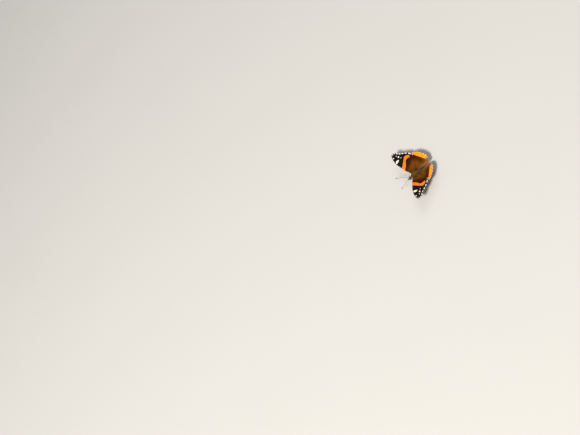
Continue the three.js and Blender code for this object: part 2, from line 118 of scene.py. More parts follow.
HINDWING = {
    "forward": HIND_HINGE_FORWARD,
    "sweep": HIND_SWEEP,
    "drop": HIND_DROP,
    "root_width": 3.4,
    "stems": {
        "radius": [(3.6, -0.5, 0.18), (8.6, -2.6, 0.4), (21.1, -5.2, 1)],
        "cubitus": [(2.8, -2.5, 0.18), (6.6, -6.4, 0.4), (14.9, -14.2, 1)],
    },
    "veins": [
        {
            "way": [(0.6, 1.6, 0.08), (6.0, 2.6, 0.32), (13.5, 1.4, 0.66), (19.8, -1.0, 1)],
            "bare": True,
            "notch": -0.2,
        },
        {"way": [(6.0, 0.8, 0.32), (13.5, -0.4, 0.66), (20.9, -2.7, 1)], "notch": 0.15},
        {"stem": "radius", "lane": 0, "leaves": 1, "tip": (21.1, -5.2), "notch": 0.35},
        {"stem": "radius", "lane": -1, "leaves": 0.36, "tip": (19.8, -8.5), "notch": 0.4},
        {"way": [(2.9, -1.2, 0.18), (8.0, -4.6, 0.42), (17.6, -11.5, 1)], "starts": 0.42, "notch": 0.4},
        {"stem": "cubitus", "lane": 0, "leaves": 1, "tip": (14.9, -14.2), "notch": 0.4},
        {"stem": "cubitus", "lane": -1, "leaves": 0.36, "tip": (12.0, -16.6), "notch": 0.4},
        {"stem": "cubitus", "lane": -2, "leaves": 0.24, "tip": (8.6, -18.2), "notch": 0.35},
        {"way": [(1.2, -4.0, 0.22), (2.3, -10.0, 0.55), (4.5, -18.3, 1)], "notch": -0.2},
        {"way": [(0.0, -4.5, 0.26), (0.6, -10.5, 0.6), (2.3, -17.0, 1)], "bare": True},
    ],
    "cross_vein": [(8.6, -2.6), (8.0, -4.6), (6.6, -6.4)],
    "first_margin_vein": 0,
}
WINGS = {"fore": FOREWING, "hind": HINDWING}

# Markings, in each wing's own plane: outward and forward of the hinge
FORE_BAND = [
    (7.3, 8.6), (9.1, 9.8), (12.3, 8.1), (15.6, 6.5), (18.7, 5.1), (20.8, 3.8), (21.7, 1.9),
    (21.4, -0.4), (20.4, -1.9),
    (18.5, -1.7), (18.2, 0.0), (17.8, 1.6), (16.5, 3.2), (14.5, 3.9), (11.8, 4.5), (8.9, 5.6), (6.3, 7.0),
]
WHITE_BAR = [(16.3, 14.1), (18.0, 14.6), (19.9, 13.0), (20.1, 11.2), (19.0, 10.7), (17.3, 12.3)]
WHITE_SPOTS = [
    ((23.9, 16.3), (0.62, 0.8), 20),
    ((25.5, 12.5), (0.55, 0.45), 0),
    ((23.5, 10.3), (0.92, 0.78), 10),
    ((21.5, 7.7), (0.5, 0.42), 0),
]
HIND_BAND = [
    (18.6, -3.6), (17.4, -5.4), (15.1, -7.4), (12.6, -9.8), (10.0, -12.0), (8.0, -13.9),
    (6.2, -15.3), (4.6, -16.4),
    (4.2, -20.0), (9.0, -21.0), (16.0, -18.0), (22.0, -12.0), (24.0, -4.0), (21.5, -2.6),
]
HIND_DOTS = [
    ((18.3, -6.4), (0.42, 0.6), -30),
    ((16.6, -9.1), (0.5, 0.6), -40),
    ((13.9, -11.4), (0.5, 0.6), -50),
    ((11.4, -13.5), (0.45, 0.55), -55),
]
TAIL_SPOT = ((5.6, -16.9), (1.5, 0.55), 28)
BANDS = {"fore": FORE_BAND, "hind": HIND_BAND}
NO_MARK = -5.0  # the distance inside a mark that a wing does not have

# Wing scales: length, width, and the distance from the root at which they have that width
SCALE_LENGTH = 0.17
SCALE_WIDTH = 0.105
SCALE_REACH = 14

# Body sections of the skin: y forward, centre height, half width, half height
SKIN_SECTIONS = [
    (8.42, 5.75, 0.1, 0.12),
    (8.3, 5.78, 0.42, 0.5),
    (8.0, 5.84, 0.72, 0.88),
    (7.4, 5.92, 0.9, 1.14),
    (6.8, 5.92, 0.88, 1.08),
    (6.3, 5.88, 0.66, 0.78),
    (5.9, 5.86, 0.5, 0.58),
    (5.5, 5.86, 0.66, 0.72),
    (5.1, 5.86, 1.15, 1.2),
    (4.3, 5.86, 1.72, 1.88),
    (2.9, 5.9, 2.12, 2.35),
    (0.8, 5.9, 2.24, 2.52),
    (-1.0, 5.8, 2.08, 2.42),
    (-2.6, 5.6, 1.74, 2.02),
    (-3.6, 5.44, 1.36, 1.6),
    (-4.2, 5.36, 1.14, 1.34),
    (-4.7, 5.35, 1.16, 1.2),
    (-5.6, 5.35, 1.42, 1.42),
    (-6.8, 5.34, 1.6, 1.58),
    (-8.1, 5.33, 1.64, 1.62),
    (-9.3, 5.32, 1.55, 1.53),
    (-10.5, 5.32, 1.32, 1.3),
    (-11.6, 5.31, 1.0, 0.98),
    (-12.6, 5.3, 0.62, 0.6),
    (-13.1, 5.3, 0.34, 0.32),
    (-13.25, 5.3, 0.08, 0.08),
]
ABDOMEN_FROM = -4.6
ABDOMEN_TO = -13.1
ABDOMEN_SEGMENTS = 8

LEGS = {
    "midleg": {
        "way": [
            (1.2, 0.8, 4.2), (2.3, 1.3, 3.1), (5.9, 2.9, 4.6), (9.4, 4.4, 0.62), (10.0, 4.65, 0.2),
            (13.4, 5.85, 0.16),
        ],
        "walks": True,
    },
    "hindleg": {
        "way": [
            (1.2, -1.5, 4.1), (2.2, -2.3, 3.1), (5.2, -5.3, 4.6), (7.9, -9.2, 0.62), (8.3, -9.8, 0.2),
            (10.4, -13.0, 0.16),
        ],
        "walks": True,
    },
    "foreleg": {"way": [(1.0, 3.2, 4.5), (1.6, 4.6, 3.1), (1.75, 6.2, 3.1), (1.5, 7.8, 3.9)], "walks": False},
}
JOINT_BEND = 0.22  # millimetres of a limb that bend on each side of a joint
LONGEST_BEND = 0.35  # the most of a limb that bends, as a share of it
TUFT_SIDES = 3
COAT_ROUGHNESS = 0.55

EYE_CENTRE = (1.02, 7.4, 6.0)
EYE_RADIUS = 1.0
EYE_STRETCH = 1.12
ANTENNA_ROOT = (0.5, 7.8, 6.8)
ANTENNA_LENGTH = 15.6
ANTENNA_SPREAD = math.radians(31)
ANTENNA_RISE = math.radians(19)
PALP_WAY = [(0.56, 8.0, 5.2), (0.6, 8.9, 5.0), (0.58, 9.8, 5.4), (0.52, 10.5, 6.1)]
PALP_THICK = [0.2, 0.28, 0.26, 0.08]
TONGUE_CENTRE = (0, 8.4, 3.6)
TONGUE_TURNS = 1.6
TONGUE_OUTER = 1.15
TONGUE_INNER = 0.3


# Settings that a user would change


def length(name, description, default):
    return bpy.props.FloatProperty(
        name=name, description=description, default=default * MM, unit="LENGTH", precision=5
    )


def colour(name, description, default):
    return bpy.props.FloatVectorProperty(
        name=name, description=description, default=default, subtype="COLOR", min=0, max=1
    )


def amount(name, description, default, low=0, high=200000):
    return bpy.props.IntProperty(name=name, description=description, default=default, min=low, max=high)


def power(name, default):
    return bpy.props.FloatProperty(name=name, description="Power", default=default, min=0, unit="POWER")


class WingSettings(bpy.types.PropertyGroup):
    membrane: length("Membrane", "Thickness of a wing between its veins", 0.12)
    vein_rise: length("Vein rise", "Height of a vein over the membrane on each face", 0.07)
    vein_half_width: length("Vein half width", "Half the width of a vein", 0.17)
    cell_dip: length("Cell dip", "How far the membrane sags between two veins", 0.09)
    fringe: length("Fringe", "Length of the scales along the outer margin", 0.75)
    base_hairs: amount("Base hairs", "Tufts of hair on the inner part of each wing", 4200)
    black: colour("Black", "Ground colour of the outer forewing", (0.011, 0.0075, 0.0055))
    maroon: colour("Dark maroon", "Ground colour next to the bands", (0.040, 0.0080, 0.0024))
    brown: colour("Brown", "Ground colour near the roots", (0.150, 0.043, 0.0040))
    gold: colour("Gold brown", "Paler hairs and scales near the roots", (0.30, 0.125, 0.018))
    red: colour("Band", "Forewing band", (0.86, 0.128, 0.004))
    red_light: colour("Band, lightest", "Lightest scales of the forewing band", (0.92, 0.25, 0.010))
    orange: colour("Border", "Hindwing border", (0.88, 0.235, 0.010))
    orange_light: colour("Border, lightest", "Lightest scales of the hindwing border", (0.92, 0.38, 0.024))
    white: colour("White", "White marks and fringe checks", (0.86, 0.84, 0.80))
    blue: colour("Blue", "Small blue scales", (0.10, 0.19, 0.50))
    olive: colour("Olive", "Mottled underside", (0.085, 0.062, 0.035))
    grey: colour("Grey", "Pale lines of the underside", (0.24, 0.20, 0.19))


class BodySettings(bpy.types.PropertyGroup):
    thorax_tufts: amount("Thorax tufts", "Tufts of hair on each half of the thorax", 10500)
    head_tufts: amount("Head tufts", "Tufts of hair on the head", 5200)
    face_tufts: amount("Face tufts", "Tufts of hair on the front of the head", 700)
    root_tufts: amount("Wing root tufts", "Tufts of long hair between the wing roots on each side", 1800)
    abdomen_tufts: amount("Abdomen tufts", "Tufts of scales and hair on the abdomen", 10500)
    leg_tufts: amount("Leg tufts", "Tufts of scales on each leg", 900)
    tuft_radius: length("Tuft radius", "Half thickness of a tuft at its root", 0.03)
    skin: colour("Skin", "Dark ground colour of the body", (0.020, 0.013, 0.008))
    hair: colour("Hair", "Olive brown hair of the thorax", (0.20, 0.105, 0.024))
    tawny: colour("Tawny hair", "Palest hair of the thorax and head", (0.42, 0.225, 0.055))
    eye: colour("Eye", "Compound eye", (0.055, 0.020, 0.010))
    antenna: colour("Antenna", "Dark part of the antenna", (0.014, 0.011, 0.009))
    ring: colour("Antenna rings", "Pale rings and tip of the antenna", (0.62, 0.55, 0.44))
    leg: colour("Legs", "Skin of the walking legs", (0.085, 0.05, 0.024))
    leg_scale: colour("Leg scales", "Pale scales of the legs", (0.30, 0.20, 0.11))


class StageSettings(bpy.types.PropertyGroup):
    floor: colour("Floor", "Plain floor", (0.56, 0.55, 0.53))
    camera_distance: length("Camera distance", "From the wing roots to the lens", 876.2)
    lens: bpy.props.FloatProperty(
        name="Lens",
        description="Focal length in millimetres on a 36 mm sensor",
        default=49.455,
        min=10,
        max=300,
    )
    key_power: power("Key light", 88)
    fill_power: power("Fill light", 22)


def wings_now():
    return bpy.context.scene.butterfly_wings


def body_now():
    return bpy.context.scene.butterfly_body


def stage_now():
    return bpy.context.scene.butterfly_stage


# Node trees


class Value:
    """A number socket on which Python arithmetic adds Math nodes."""

    def __init__(self, tree, socket):
        self.tree = tree
        self.socket = socket

    def math(self, operation, *values):
        made = self.tree.node("ShaderNodeMath", {"operation": operation}, dict(enumerate(values)))
        return Value(self.tree, made.outputs[0])

    def __add__(self, other):
        return self.math("ADD", self, other)

    def __radd__(self, other):
        return self.math("ADD", other, self)

    def __sub__(self, other):
        return self.math("SUBTRACT", self, other)

    def __rsub__(self, other):
        return self.math("SUBTRACT", other, self)

    def __mul__(self, other):
        return self.math("MULTIPLY", self, other)

    def __rmul__(self, other):
        return self.math("MULTIPLY", other, self)

    def away_from(self, level):
        """How far the number is from a level, either way."""
        return self.math("ABSOLUTE", self - level)

    def ramp(self, low, high):
        """0 at low, 1 at high, with a soft turn at both ends."""
        made = self.tree.node(
            "ShaderNodeMapRange",
            {"interpolation_type": "SMOOTHSTEP"},
            {"Value": self, "From Min": low, "From Max": high},
        )
        return Value(self.tree, made.outputs[0])


class Tree:
    """A node tree, with one way to add a node and short forms for the common ones."""

    def __init__(self, nodes_of):
        self.nodes = nodes_of.nodes
        self.links = nodes_of.links

    def node(self, kind, settings=None, sockets=None):
        made = self.nodes.new(kind)
        for name, value in (settings or {}).items():
            setattr(made, name, value)
        for key, value in (sockets or {}).items():
            socket = made.inputs[key]
            if isinstance(value, Value):
                self.links.new(value.socket, socket)
            elif isinstance(value, bpy.types.NodeSocket):
                self.links.new(value, socket)
            else:
                socket.default_value = value
        return made

    def value(self, socket):
        return Value(self, socket)

    def mix(self, factor, first, second):
        """A colour between two colours."""
        made = self.node("ShaderNodeMix", {"data_type": "RGBA"}, {0: factor, 6: first, 7: second})
        return made.outputs[2]

    def numbers(self, attribute):
        """The three numbers of a vector attribute of the piece."""
        read = self.node("ShaderNodeAttribute", {"attribute_name": attribute})
        split = self.node("ShaderNodeSeparateXYZ", None, {0: read.outputs["Vector"]})
        return [self.value(out) for out in split.outputs]

    def noise(self, vector, scale, detail=3.0, roughness=0.55):
        sockets = {"Vector": vector, "Scale": scale, "Detail": detail, "Roughness": roughness}
        return self.value(self.node("ShaderNodeTexNoise", None, sockets).outputs[0])

    def scaled(self, vector, factors):
        made = self.node("ShaderNodeVectorMath", {"operation": "MULTIPLY"}, {0: vector, 1: factors})
        return made.outputs[0]

    def shader(self, colour_socket, roughness, bumps, **constants):
        """The surface: bumps are (height, millimetres) pairs, laid over one another."""
        normal = None
        for height, reach in bumps:
            sockets = {"Strength": 1.0, "Distance": reach * MM, "Height": height}
            if normal is not None:
                sockets["Normal"] = normal
            normal = self.node("ShaderNodeBump", None, sockets).outputs[0]
        sockets = {"Base Color": colour_socket, "Roughness": roughness}
        if normal is not None:
            sockets["Normal"] = normal
        sockets.update(constants)
        surface = self.node("ShaderNodeBsdfPrincipled", None, sockets)
        self.node("ShaderNodeOutputMaterial", None, {"Surface": surface.outputs[0]})


def new_material(name):
    material = bpy.data.materials.new(name)
    material.use_nodes = True
    material.node_tree.nodes.clear()
    return material, Tree(material.node_tree)


def rgba(colour_value):
    return (*colour_value, 1.0)


# Curves and places, all in millimetres until a mesh is made


def catmull(points, at):
    """Points on the centripetal curve through points, at parameters that count its spans."""
    points = np.asarray(points, float)
    ahead = 2 * points[0] - points[1]
    behind = 2 * points[-1] - points[-2]
    padded = np.vstack([ahead, points, behind])
    at = np.atleast_1d(np.asarray(at, float))
    span = np.clip(at.astype(int), 0, len(points) - 2)
    local = (at - span)[:, None]
    p0, p1, p2, p3 = (padded[span + k] for k in range(4))

    def step(a, b):
        return np.maximum(np.linalg.norm(b - a, axis=1), 1e-6)[:, None] ** 0.5

    d0, d1, d2 = step(p0, p1), step(p1, p2), step(p2, p3)
    start = ((p1 - p0) / d0 - (p2 - p0) / (d0 + d1) + (p2 - p1) / d1) * d1
    end = ((p2 - p1) / d1 - (p3 - p1) / (d1 + d2) + (p3 - p2) / d2) * d1
    cubic = 2 * p1 - 2 * p2 + start + end
    square = -3 * p1 + 3 * p2 - 2 * start - end
    return cubic * local**3 + square * local**2 + start * local + p1


def soft_ramp(x):
    return (x + np.hypot(x, LIFT_SOFTNESS) - LIFT_SOFTNESS / 2) / 2


def sheet_height(out, forward):
    span = out - ROOT_OUT
    bow = 4 * ARCH_HEIGHT * span * (ARCH_SPAN - span) / ARCH_SPAN**2
    front = FRONT_LIFT * soft_ramp(forward - FORE_HINGE_FORWARD)
    rear = REAR_LIFT * soft_ramp(-forward - REAR_LIFT_FROM)
    return HINGE_HEIGHT + math.tan(DIHEDRAL) * span + bow + front + rear


def unit(vectors):
    return vectors / np.maximum(np.linalg.norm(vectors, axis=1), 1e-9)[:, None]


def row_points(places, side=1):
    """Row frame points, in metres, from places outward, forward and up. Side -1 is the right half."""
    places = np.asarray(places, float)
    return np.stack([side * places[:, 0], BODY_Y - places[:, 1], places[:, 2]], axis=1) * MM


def on_sheet(wing, plan, lift):
    """Places outward, forward and up, for points of a wing's own plane."""
    plan = np.asarray(plan, float)
    u, v = plan[:, 0], plan[:, 1]
    turn = wing["sweep"]
    out = ROOT_OUT + (u * math.cos(turn) + v * math.sin(turn)) * math.cos(DIHEDRAL)
    forward = wing["forward"] + v * math.cos(turn) - u * math.sin(turn)
    return np.stack([out, forward, sheet_height(out, forward) - wing["drop"] + lift], axis=1)


def read_path(way, root, share):
    stops = [(*root, 0.0), *way]
    marks = np.array([stop[2] for stop in stops])
    k = np.clip(np.searchsorted(marks, share), 1, len(marks) - 1)
    local = (share - marks[k - 1]) / (marks[k] - marks[k - 1])
    return catmull([stop[:2] for stop in stops], k - 1 + local)


def vein_line(wing, order, share):
    """Where a vein runs, at shares of its length."""
    vein = wing["veins"][order]
    root_forward = wing["root_width"] * (0.5 - order / (len(wing["veins"]) - 1))
    if "way" in vein:
        return read_path(vein["way"], (VEIN_ROOT, root_forward), share)
    stem = wing["stems"][vein["stem"]]
    stem_root = (VEIN_ROOT, root_forward - vein["lane"] * LANE)
    lane = vein["lane"] * LANE if vein["leaves"] < 1 else 0

    def on_stem(at):
        further = read_path(stem, stem_root, np.minimum(at + STEM_STEP, 1))
        along = further - read_path(stem, stem_root, np.maximum(at - STEM_STEP, 0))
        along /= np.linalg.norm(along, axis=1)[:, None]
        return read_path(stem, stem_root, at) + lane * np.stack([-along[:, 1], along[:, 0]], axis=1), along

    line, _ = on_stem(np.minimum(share, vein["leaves"]))
    if vein["leaves"] < 1:
        start, along = on_stem(np.array([vein["leaves"]]))
        tip = np.array(vein["tip"])
        bend = start + along * np.linalg.norm(tip - start) * BRANCH_BEND
        t = np.clip((share - vein["leaves"]) / (1 - vein["leaves"]), 0, 1)[:, None]
        branch = (1 - t) ** 2 * start + 2 * t * (1 - t) * bend + t**2 * tip
        line = np.where((share > vein["leaves"])[:, None], branch, line)
    return line


def segment_distance(points, path):
    """Least distance from each point to a path of straight pieces."""
    points = np.asarray(points, float)
    path = np.asarray(path, float)
    best = np.full(len(points), np.inf)
    for a, b in zip(path[:-1], path[1:]):
        run = b - a
        t = np.clip((points - a) @ run / max(run @ run, 1e-12), 0, 1)
        best = np.minimum(best, np.linalg.norm(points - (a + t[:, None] * run), axis=1))
    return best


def outline_depth(points, corners):
    """Distance inside a closed outline that runs smoothly through its corners, negative outside it."""
    corners = np.asarray(corners, float)
    loop = np.vstack([corners[-2:], corners, corners[:3]])
    smooth = catmull(loop, np.arange(2, len(corners) + 2, OUTLINE_STEP))
    ring = np.vstack([smooth, smooth[:1]])
    inside = np.zeros(len(points), bool)
    for a, b in zip(ring[:-1], ring[1:]):
        if a[1] == b[1]:
            continue
        crosses = (a[1] > points[:, 1]) != (b[1] > points[:, 1])
        reach = (b[0] - a[0]) * (points[:, 1] - a[1]) / (b[1] - a[1]) + a[0]
        inside ^= crosses & (points[:, 0] < reach)
    distance = segment_distance(points, ring)
    return np.where(inside, distance, -distance)


def spot_depth(points, spot):
    """About the distance inside an oval, negative outside it."""
    centre, radii, turn = spot
    angle = math.radians(turn)
    shift = points - np.array(centre)
    along = shift @ np.array([math.cos(angle), math.sin(angle)])
    across = shift @ np.array([-math.sin(angle), math.cos(angle)])
    return (1 - np.hypot(along / radii[0], across / radii[1])) * min(radii)


# Meshes


def mesh_piece(name, vertices, faces, material, smooth=True):
    mesh = bpy.data.meshes.new(name)
    mesh.from_pydata([tuple(v) for v in vertices], [], [tuple(int(i) for i in face) for face in faces])
    mesh.materials.append(material)
    mesh.polygons.foreach_set("use_smooth", [smooth] * len(mesh.polygons))
    mesh.update()
    piece = bpy.data.objects.new(name, mesh)
    bpy.context.scene.collection.objects.link(piece)
    return piece


def set_numbers(piece, name, values):
    """A vector attribute of the points, from three columns."""
    data = piece.data.attributes.new(name, "FLOAT_VECTOR", "POINT")
    data.data.foreach_set("vector", np.asarray(values, dtype=np.float32).ravel())


def grid_faces(rows, columns, start=0, flip=False, wrap=False):
    """Quads over a grid of rows, each of so many columns."""
    i, j = np.meshgrid(np.arange(rows - 1), np.arange(columns if wrap else columns - 1), indexing="ij")
    following = (j + 1) % columns
    a = start + i * columns + j
    b = start + i * columns + following
    c = b + columns
    d = a + columns
    quads = np.stack([a, d, c, b] if flip else [a, b, c, d], axis=-1)
    return quads.reshape(-1, 4)


def finish_piece(piece, slot, *nodes):
    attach(piece, "root")
    if nodes:
        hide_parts(*nodes)


def loft(rings):
    """Vertices and faces of a closed skin over rings of points, capped by a point at each end."""
    rows, columns, _ = rings.shape
    vertices = np.vstack([rings.reshape(-1, 3), rings[0].mean(axis=0), rings[-1].mean(axis=0)])
    faces = [list(quad) for quad in grid_faces(rows, columns, wrap=True)]
    first, last = rows * columns, rows * columns + 1
    end = (rows - 1) * columns
    for k in range(columns):
        n = (k + 1) % columns
        faces.append([first, n, k])
        faces.append([last, end + k, end + n])
    return vertices, outward(vertices, faces)


def tube_rings(centres, radii, columns):
    """Rings of points about a path, with one direction kept steady along it."""
    tangents = np.gradient(centres, axis=0)
    tangents /= np.linalg.norm(tangents, axis=1)[:, None]
    normal = np.cross(tangents[0], (0.0, 0.0, 1.0))
    normal /= np.linalg.norm(normal)
    rings = []
    angles = 2 * np.pi * np.arange(columns) / columns
    for centre, tangent, radius in zip(centres, tangents, radii):
        normal = normal - tangent * (normal @ tangent)
        normal /= np.linalg.norm(normal)
        other = np.cross(tangent, normal)
        rings.append(centre + radius * (np.cos(angles)[:, None] * normal + np.sin(angles)[:, None] * other))
    return np.array(rings)


def outward(vertices, faces):
    """The faces turned so that the closed skin encloses a positive volume."""
    volume = 0.0
    for face in faces:
        a, b, c = (vertices[i] for i in face[:3])
        volume += a @ np.cross(b, c)
        if len(face) == 4:
            d = vertices[face[3]]
            volume += a @ np.cross(c, d)
    return faces if volume > 0 else [list(face)[::-1] for face in faces]


def above_floor(mesh):
    """Raise what would be under the floor up to it."""
    places = np.empty(len(mesh.vertices) * 3, np.float32)
    mesh.vertices.foreach_get("co", places)
    places[2::3] = np.maximum(places[2::3], 0)
    mesh.vertices.foreach_set("co", places)


def tufts(name, roots, directions, normals, lengths, radius, spots, tints, material, droop, levels=3):
    """Thin curved hairs or scales as one closed mesh, each with a tint and its own spot on OFBake."""
    count = len(roots)
    directions = directions / np.linalg.norm(directions, axis=1)[:, None]
    sideways = np.cross(directions, normals)
    sideways /= np.maximum(np.linalg.norm(sideways, axis=1), 1e-9)[:, None]
    angles = 2 * np.pi * np.arange(TUFT_SIDES) / TUFT_SIDES
    blocks = []
    for level in range(levels):
        t = level / levels
        centre = roots + directions * (lengths * t)[:, None] - normals * (droop * lengths * t * t)[:, None]
        wide = radius * (1 - 0.55 * t)
        for angle in angles:
            blocks.append(centre + wide * (math.cos(angle) * sideways + 0.6 * math.sin(angle) * normals))
    tip = roots + directions * lengths[:, None] - normals * (droop * lengths)[:, None]
    blocks.append(tip)
    blocks.append(roots - normals * radius)
    per = TUFT_SIDES * levels + 2
    vertices = np.stack(blocks, axis=1).reshape(-1, 3)
    pattern = []
    for level in range(levels - 1):
        for k in range(TUFT_SIDES):
            n = (k + 1) % TUFT_SIDES
            a, b = level * TUFT_SIDES + k, level * TUFT_SIDES + n
            pattern += [(a, b, b + TUFT_SIDES), (a, b + TUFT_SIDES, a + TUFT_SIDES)]
    top = (levels - 1) * TUFT_SIDES
    for k in range(TUFT_SIDES):
        n = (k + 1) % TUFT_SIDES
        pattern += [(top + k, top + n, per - 2), (n, k, per - 1)]
    pattern = np.array(pattern)
    pattern = np.array(outward(vertices[:per], pattern.tolist()))
    faces = (pattern[None] + (np.arange(count) * per)[:, None, None]).reshape(-1, 3)
    mesh = bpy.data.meshes.new(name)
    mesh.vertices.add(len(vertices))
    mesh.vertices.foreach_set("co", vertices.astype(np.float32).ravel())
    mesh.loops.add(len(faces) * 3)
    mesh.loops.foreach_set("vertex_index", faces.astype(np.int32).ravel())
    mesh.polygons.add(len(faces))
    mesh.polygons.foreach_set("loop_start", (np.arange(len(faces)) * 3).astype(np.int32))
    mesh.polygons.foreach_set("use_smooth", [True] * len(faces))
    mesh.materials.append(material)
    mesh.update(calc_edges=True)
    mesh.validate()
    patch = 0.003
    local = np.zeros((per, 2))
    for level in range(levels):
        for k in range(TUFT_SIDES):
            local[level * TUFT_SIDES + k] = (k / TUFT_SIDES, level / levels)
    local[per - 2] = (0.5, 1.0)
    local[per - 1] = (0.5, 0.0)
    places = spots[:, None, :] + (local[None] - 0.5) * patch
    baked = mesh.uv_layers.new(name="OFBake")
    baked.data.foreach_set("uv", places.reshape(-1, 2)[faces.ravel()].astype(np.float32).ravel())
    piece = bpy.data.objects.new(name, mesh)
    bpy.context.scene.collection.objects.link(piece)
    rise = np.tile(np.r_[np.repeat(np.arange(levels) / levels, TUFT_SIDES), 1.0, 0.0], count)
    set_numbers(piece, "tuft", np.stack([np.repeat(tints, per), rise, np.zeros(count * per)], axis=1))
    return piece


# Wings


def wing_lines(wing):
    share = np.linspace(0, 1, WING_ROWS)
    return share, [vein_line(wing, order, share) for order in range(len(wing["veins"]))]


def wing_plan(wing):
    """Plan points (columns, rows, 2) with their share along, place across a cell and the cell's number."""
    share, lines = wing_lines(wing)
    settle = np.clip((share - 0.86) / 0.14, 0, 1)
    settle = settle * settle * (3 - 2 * settle)
    columns = []
    across = []
    cells = []
    for i, vein in enumerate(wing["veins"][:-1]):
        edge = (lines[i][-1] + lines[i + 1][-1]) / 2
        inner = (lines[i][-2] + lines[i + 1][-2]) / 2
        inward = (inner - edge) / np.linalg.norm(inner - edge)
        for t in CELL_STOPS:
            swell = math.sin(math.pi * t) ** 1.3 if t > 0 else 0
            shift = settle[:, None] * inward * vein["notch"] * swell
            columns.append(lines[i] * (1 - t) + lines[i + 1] * t + shift)
            across.append(t)
            cells.append(i)
    columns.append(lines[-1])
    across.append(1.0)
    cells.append(len(wing["veins"]) - 2)
    return np.array(columns), share, np.array(across), np.array(cells)


def wing_numbers(wing, kind, columns, share, across, cells):
    """What the materials read at each point of the grid, as named columns of three numbers."""
    count, rows, _ = columns.shape
    plan = columns.reshape(-1, 2)
    share_all = np.tile(share, count)
    across_all = np.repeat(across, rows)
    cell_all = np.repeat(cells, rows)
    first = wing["first_margin_vein"] * len(CELL_STOPS)
    rim = segment_distance(plan, columns[first:, -1])
    veins = np.full(len(plan), np.inf)
    _, lines = wing_lines(wing)
    for vein, line in zip(wing["veins"], lines):
        if not vein.get("bare"):
            veins = np.minimum(veins, segment_distance(plan, line[share >= vein.get("starts", 0)][::3]))
    veins = np.minimum(veins, segment_distance(plan, wing["cross_vein"]))
    band = outline_depth(plan, BANDS[kind])
    if kind == "fore":
        white = outline_depth(plan, WHITE_BAR)
        for spot in WHITE_SPOTS:
            white = np.maximum(white, spot_depth(plan, spot))
        dots = np.full(len(plan), NO_MARK)
        blue = np.full(len(plan), NO_MARK)
    else:
        white = np.full(len(plan), NO_MARK)
        dots = np.max([spot_depth(plan, spot) for spot in HIND_DOTS], axis=0)
        blue = spot_depth(plan, TAIL_SPOT)
    middle = 1 - np.abs(across_all - 0.5) * 2
    check = np.where(cell_all >= wing["first_margin_vein"], middle, 0)
    reach = np.linalg.norm(plan, axis=1)
    angle = np.arctan2(plan[:, 1], plan[:, 0])
    blank = np.zeros(len(plan))
    return plan, {
        "marks": np.stack([band, white, dots], axis=1),
        "lines": np.stack([rim, veins, check], axis=1),
        "extra": np.stack([blue, share_all, blank], axis=1),
        "grain": np.stack([reach / SCALE_LENGTH, angle * SCALE_REACH / SCALE_WIDTH, blank], axis=1),
        "plan": np.stack([plan[:, 0], plan[:, 1], blank], axis=1),
    }


def wing_relief(wing, columns, share, across):
    """Half thickness and height of the middle at each point of the grid."""
    settings = wings_now()
    count, rows, _ = columns.shape
    rise = settings.vein_rise / MM
    half_width = settings.vein_half_width / MM
    half = np.full((count, rows), settings.membrane / MM / 2)
    middle = np.zeros((count, rows))
    stops = len(CELL_STOPS)
    for j in range(count):
        cell = min(j // stops, len(wing["veins"]) - 2)
        near = columns[cell * stops]
        far = columns[min((cell + 1) * stops, count - 1)]
        width = np.linalg.norm(far - near, axis=1)
        t = across[j]
        for vein, away in ((wing["veins"][cell], t), (wing["veins"][cell + 1], 1 - t)):
            shown = 0.0 if vein.get("bare") else (share >= vein.get("starts", 0)).astype(float)
            taper = 1.35 - 0.75 * share
            bulge = np.clip(1 - (away * width / half_width) ** 2, 0, 1) ** 0.5
            half[j] = np.maximum(half[j], settings.membrane / MM / 2 + rise * taper * shown * bulge)
        middle[j] = -settings.cell_dip / MM * math.sin(math.pi * t) ** 2 * np.clip(width / 2.5, 0, 1)
    half[0] = half[1] = settings.membrane / MM * 0.9
    half[:, -1] *= 0.4
    half[-1] *= 0.5
    ripple = 0.12 * np.sin(np.linspace(0, 9, count))[:, None] * (share[None] ** 3)
    return half, middle + ripple


def make_wing(kind, side_name, material):
    wing = WINGS[kind]
    side = SIDES[side_name]
    columns, share, across, cells = wing_plan(wing)
    half, middle = wing_relief(wing, columns, share, across)
    plan, numbers = wing_numbers(wing, kind, columns, share, across, cells)
    count, rows = half.shape
    upper = on_sheet(wing, plan, (middle + half).ravel())
    under = on_sheet(wing, plan, (middle - half).ravel())
    vertices = row_points(np.vstack([upper, under]), side)
    block = count * rows
    faces = [list(q) for q in grid_faces(count, rows)]
    faces += [list(q) for q in grid_faces(count, rows, start=block, flip=True)]
    loop = [j * rows for j in range(count)]
    loop += [(count - 1) * rows + i for i in range(1, rows)]
    loop += [j * rows + rows - 1 for j in range(count - 2, -1, -1)]
    loop += list(range(rows - 2, 0, -1))
    for a, b in zip(loop, loop[1:] + loop[:1]):
        faces.append([b, a, a + block, b + block])
    faces = outward(vertices, faces)
    piece = mesh_piece(f"{kind}wing_{side_name}_scaled", vertices, faces, material)
    for name, values in numbers.items():
        both = np.vstack([values, values])
        if name == "extra":
            both[:block, 2] = 1
        set_numbers(piece, name, both)
    finish_piece(piece, f"{kind}wing", f"{kind}wing_{side_name}")


def wing_spots(plan):
    """Places on OFBake for tufts that stand at places of a wing's plane."""
    return np.stack([(plan[:, 0] + 2) / 36, (plan[:, 1] + 22) / 44], axis=1)


